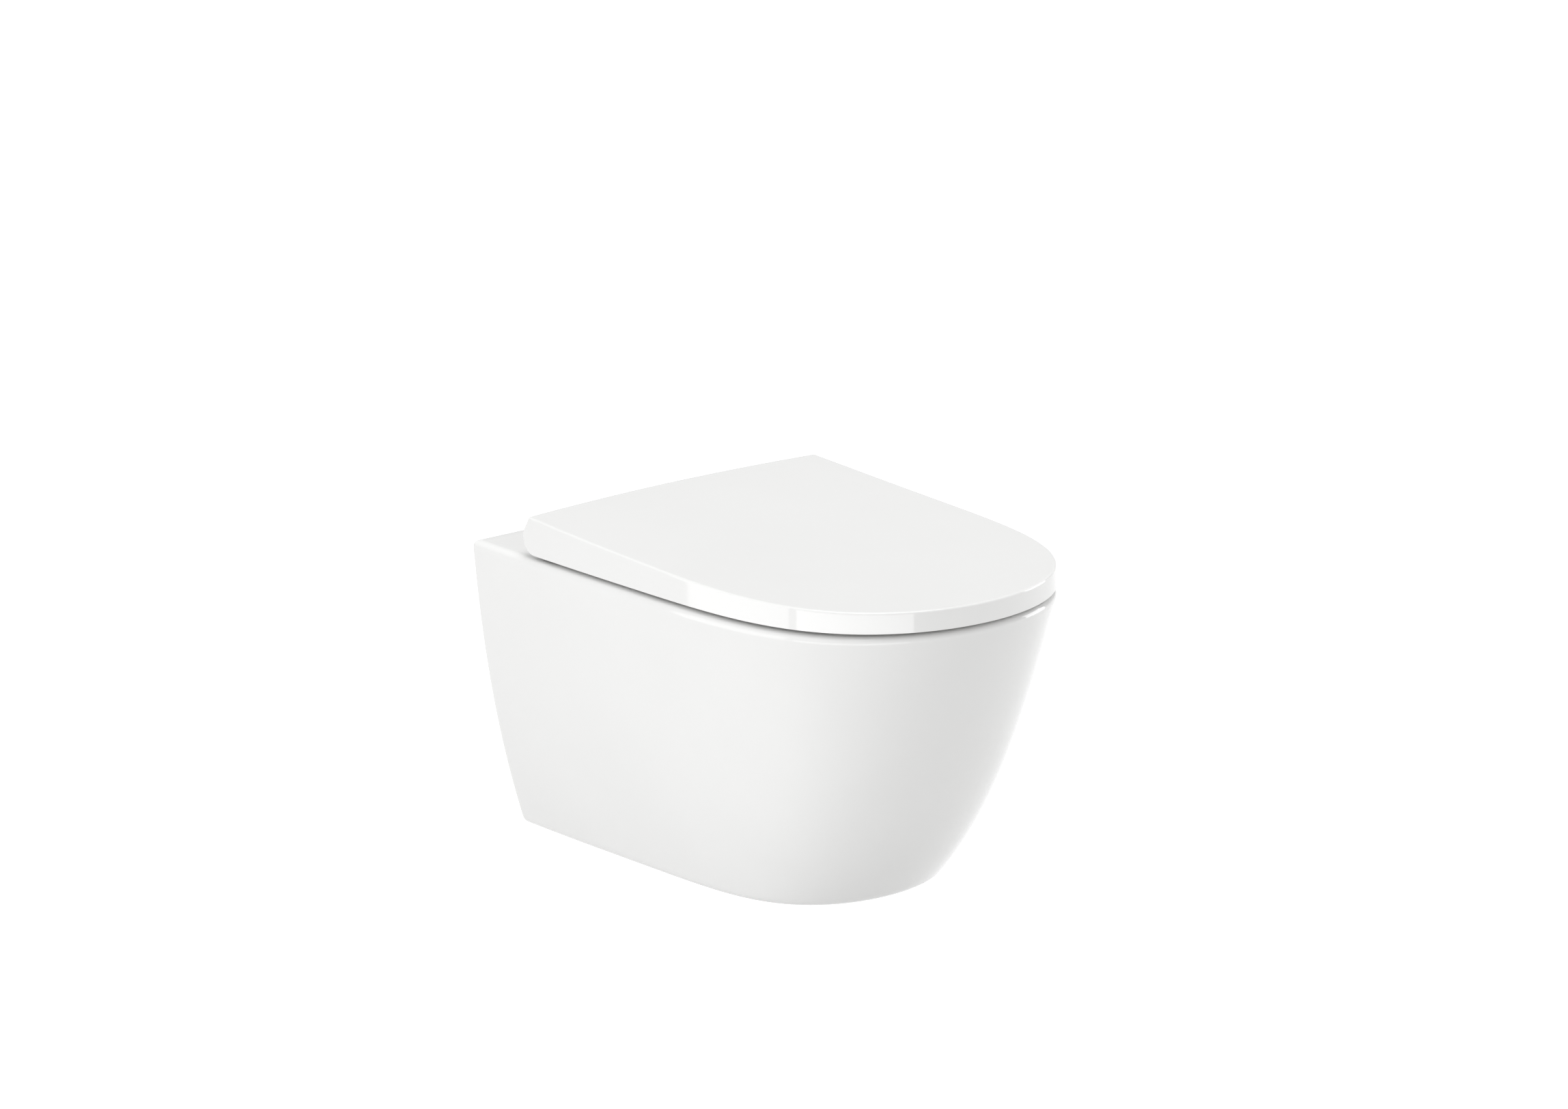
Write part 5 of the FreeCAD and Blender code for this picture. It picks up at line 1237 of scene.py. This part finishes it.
BUSH_RADIUS = 5.55
DAMPER_BORE = 22.0  # how deep the shaft's hole goes into the damper
DAMPER_PIN_START = 75.05  # just clear of that hole's floor
PINS = {
    -1: [("lid_shaft", "lid", "lid_damper_shaft", DAMPER_PIN_START, KNUCKLE_END)],
    1: [("seat_shaft", "seat", "seat_damper_shaft", DAMPER_PIN_START, 109.0),
        ("lid_pin", "lid", "lid_pivot_pin", 110.0, KNUCKLE_END)],
}


def hinge(name, side):
    """Cover, button, damper, bush and the shaft or pins of one hinge."""
    cover = hinge_cover("hinge_cover_" + name, side)
    finish_piece(cover, "seat_mount", "hinge_plastic", "hinge_housing_" + name)
    button = push_button("push_button_" + name, side)
    finish_piece(button, "button_" + name, "hinge_plastic", "release_button_" + name)
    hole = [(SHAFT_HOLE, DAMPER_LENGTH), (SHAFT_HOLE, DAMPER_LENGTH - DAMPER_BORE)]
    barrel = np.concatenate([soft_bar(DAMPER_RADIUS, DAMPER_LENGTH, 0.5), hole])
    damper = axis_turned("damper_barrel_" + name, barrel, DAMPER_START, side)
    finish_piece(damper, "seat_mount", "damper_plastic", "lid_damper" if side < 0 else "seat_damper")
    low, high = 0.0, LUG_END - LUG_START
    rows = [(SHAFT_HOLE, low), (BUSH_RADIUS, low), (BUSH_RADIUS, high), (SHAFT_HOLE, high)]
    bush = axis_turned("bush_" + name, rounded_profile(rows, 0.3), LUG_START, side, bored=True)
    finish_piece(bush, "seat", "bush_plastic", "hinge_bush_" + name)
    for label, body, node, start, end in PINS[side]:
        pin = axis_turned(label, soft_bar(SHAFT_RADIUS, end - start, 0.5), start, side, 48)
        finish_piece(pin, body, "stainless_steel", node)


dress()

# ---------------- camera, floor and light


PHOTO_WIDTH = 2296.0  # pixels
FOCAL_LENGTH = 11200.0  # pixels
SENSOR = 36.0
CAMERA_TURN, CAMERA_LIFT = -40.669, 15.57  # degrees
CAMERA_DISTANCE = 7033.7  # fitted to the photograph, as the turn, the lift and the target were
CAMERA_TARGET = np.array([-18.555, -265.0, 92.665])
LAMP_TARGET = np.array([0.0, -0.3, 0.0])  # metres
FLOOR_HALF = 30000.0
FLOOR_HEIGHT = RIM - 420.0  # the usual height of such a rim
ROOM = 0.55  # brightness of the room, where 1 is white
GLOW = 0.75  # brightness that the floor adds where it is seen


def turned_to(thing, turn, lift, distance, target):
    """Places a camera or lamp at a distance in metres from its target, at a turn and lift in degrees."""
    turn, lift = math.radians(turn), math.radians(lift)
    way = np.array([math.sin(turn) * math.cos(lift), -math.cos(turn) * math.cos(lift), math.sin(lift)])
    thing.location = target + distance * way
    thing.rotation_euler = (math.pi / 2 - lift, 0.0, turn)
    bpy.context.scene.collection.objects.link(thing)


def camera():
    """The photograph's view: a long lens, well away, a little above the rim and left of the front."""
    data = bpy.data.cameras.new("photograph")
    data.sensor_width = SENSOR
    data.lens = FOCAL_LENGTH * SENSOR / PHOTO_WIDTH
    data.clip_end = 60.0
    view = bpy.data.objects.new("photograph", data)
    turned_to(view, CAMERA_TURN, CAMERA_LIFT, CAMERA_DISTANCE * MM, CAMERA_TARGET * MM)
    bpy.context.scene.camera = view


def stage_floor():
    """A pale floor at the usual height under such a pan, seen as white and keeping the shadow."""
    corners = np.array([(-1, -1), (1, -1), (1, 1), (-1, 1)]) * FLOOR_HALF
    points = np.column_stack([corners, np.full(4, FLOOR_HEIGHT)])
    floor = new_mesh("floor", points, [np.array([[0, 1, 2, 3]])])
    material, tree, output = new_material("pale_floor")
    path = add(tree, "ShaderNodeLightPath")
    seen = add(tree, "ShaderNodeMath", {"operation": "MAXIMUM"},
               {0: path.outputs["Is Camera Ray"], 1: path.outputs["Is Glossy Ray"]})
    matt = add(tree, "ShaderNodeBsdfDiffuse", inputs={"Color": linear("#C4C4C4")})
    white = add(tree, "ShaderNodeEmission", inputs={"Color": (1, 1, 1, 1), "Strength": GLOW})
    both = add(tree, "ShaderNodeAddShader", inputs={0: matt.outputs["BSDF"], 1: white.outputs["Emission"]})
    mix = add(tree, "ShaderNodeMixShader",
              inputs={"Fac": seen.outputs["Value"], 1: matt.outputs["BSDF"], 2: both.outputs["Shader"]})
    tree.links.new(mix.outputs["Shader"], output.inputs["Surface"])
    floor.data.materials.append(material)


def soft_box(name, turn, lift, distance, size, level):
    """A rectangular lamp seen from the object at a turn and lift in degrees, as bright as the level.

    Distance and size are metres. The level is its radiance, where 1 is white in the picture; its
    power is pi times level times area.
    """
    data = bpy.data.lights.new(name, "AREA")
    data.shape = "RECTANGLE"
    data.size, data.size_y = size
    data.energy = level * math.pi * size[0] * size[1]
    light = bpy.data.objects.new(name, data)
    turned_to(light, turn, lift, distance, LAMP_TARGET)
    light.visible_camera = False


def surroundings():
    """White seen from the camera, a mid grey room for the light."""
    world = bpy.data.worlds.new("studio")
    bpy.context.scene.world = world
    world.use_nodes = True
    tree = world.node_tree
    tree.nodes.clear()
    path = add(tree, "ShaderNodeLightPath")
    room = add(tree, "ShaderNodeBackground", inputs={"Color": (1, 1, 1, 1), "Strength": ROOM})
    white = add(tree, "ShaderNodeBackground", inputs={"Color": (1, 1, 1, 1), "Strength": 1.0})
    mix = add(tree, "ShaderNodeMixShader", inputs={
        "Fac": path.outputs["Is Camera Ray"], 1: room.outputs["Background"], 2: white.outputs["Background"]})
    output = add(tree, "ShaderNodeOutputWorld")
    tree.links.new(mix.outputs["Shader"], output.inputs["Surface"])


camera()
stage_floor()
surroundings()
soft_box("front_box", -47.5, -6.0, 1.35, (2.0, 0.34), 2.4)
soft_box("side_box", -110.0, 8.0, 1.6, (1.25, 1.1), 1.6)
soft_box("top_box", 0.0, 84.0, 2.6, (2.0, 2.0), 2.95)
soft_box("right_box", 75.0, 8.0, 2.6, (1.0, 1.4), 4.0)
bpy.context.scene.view_settings.view_transform = "Standard"
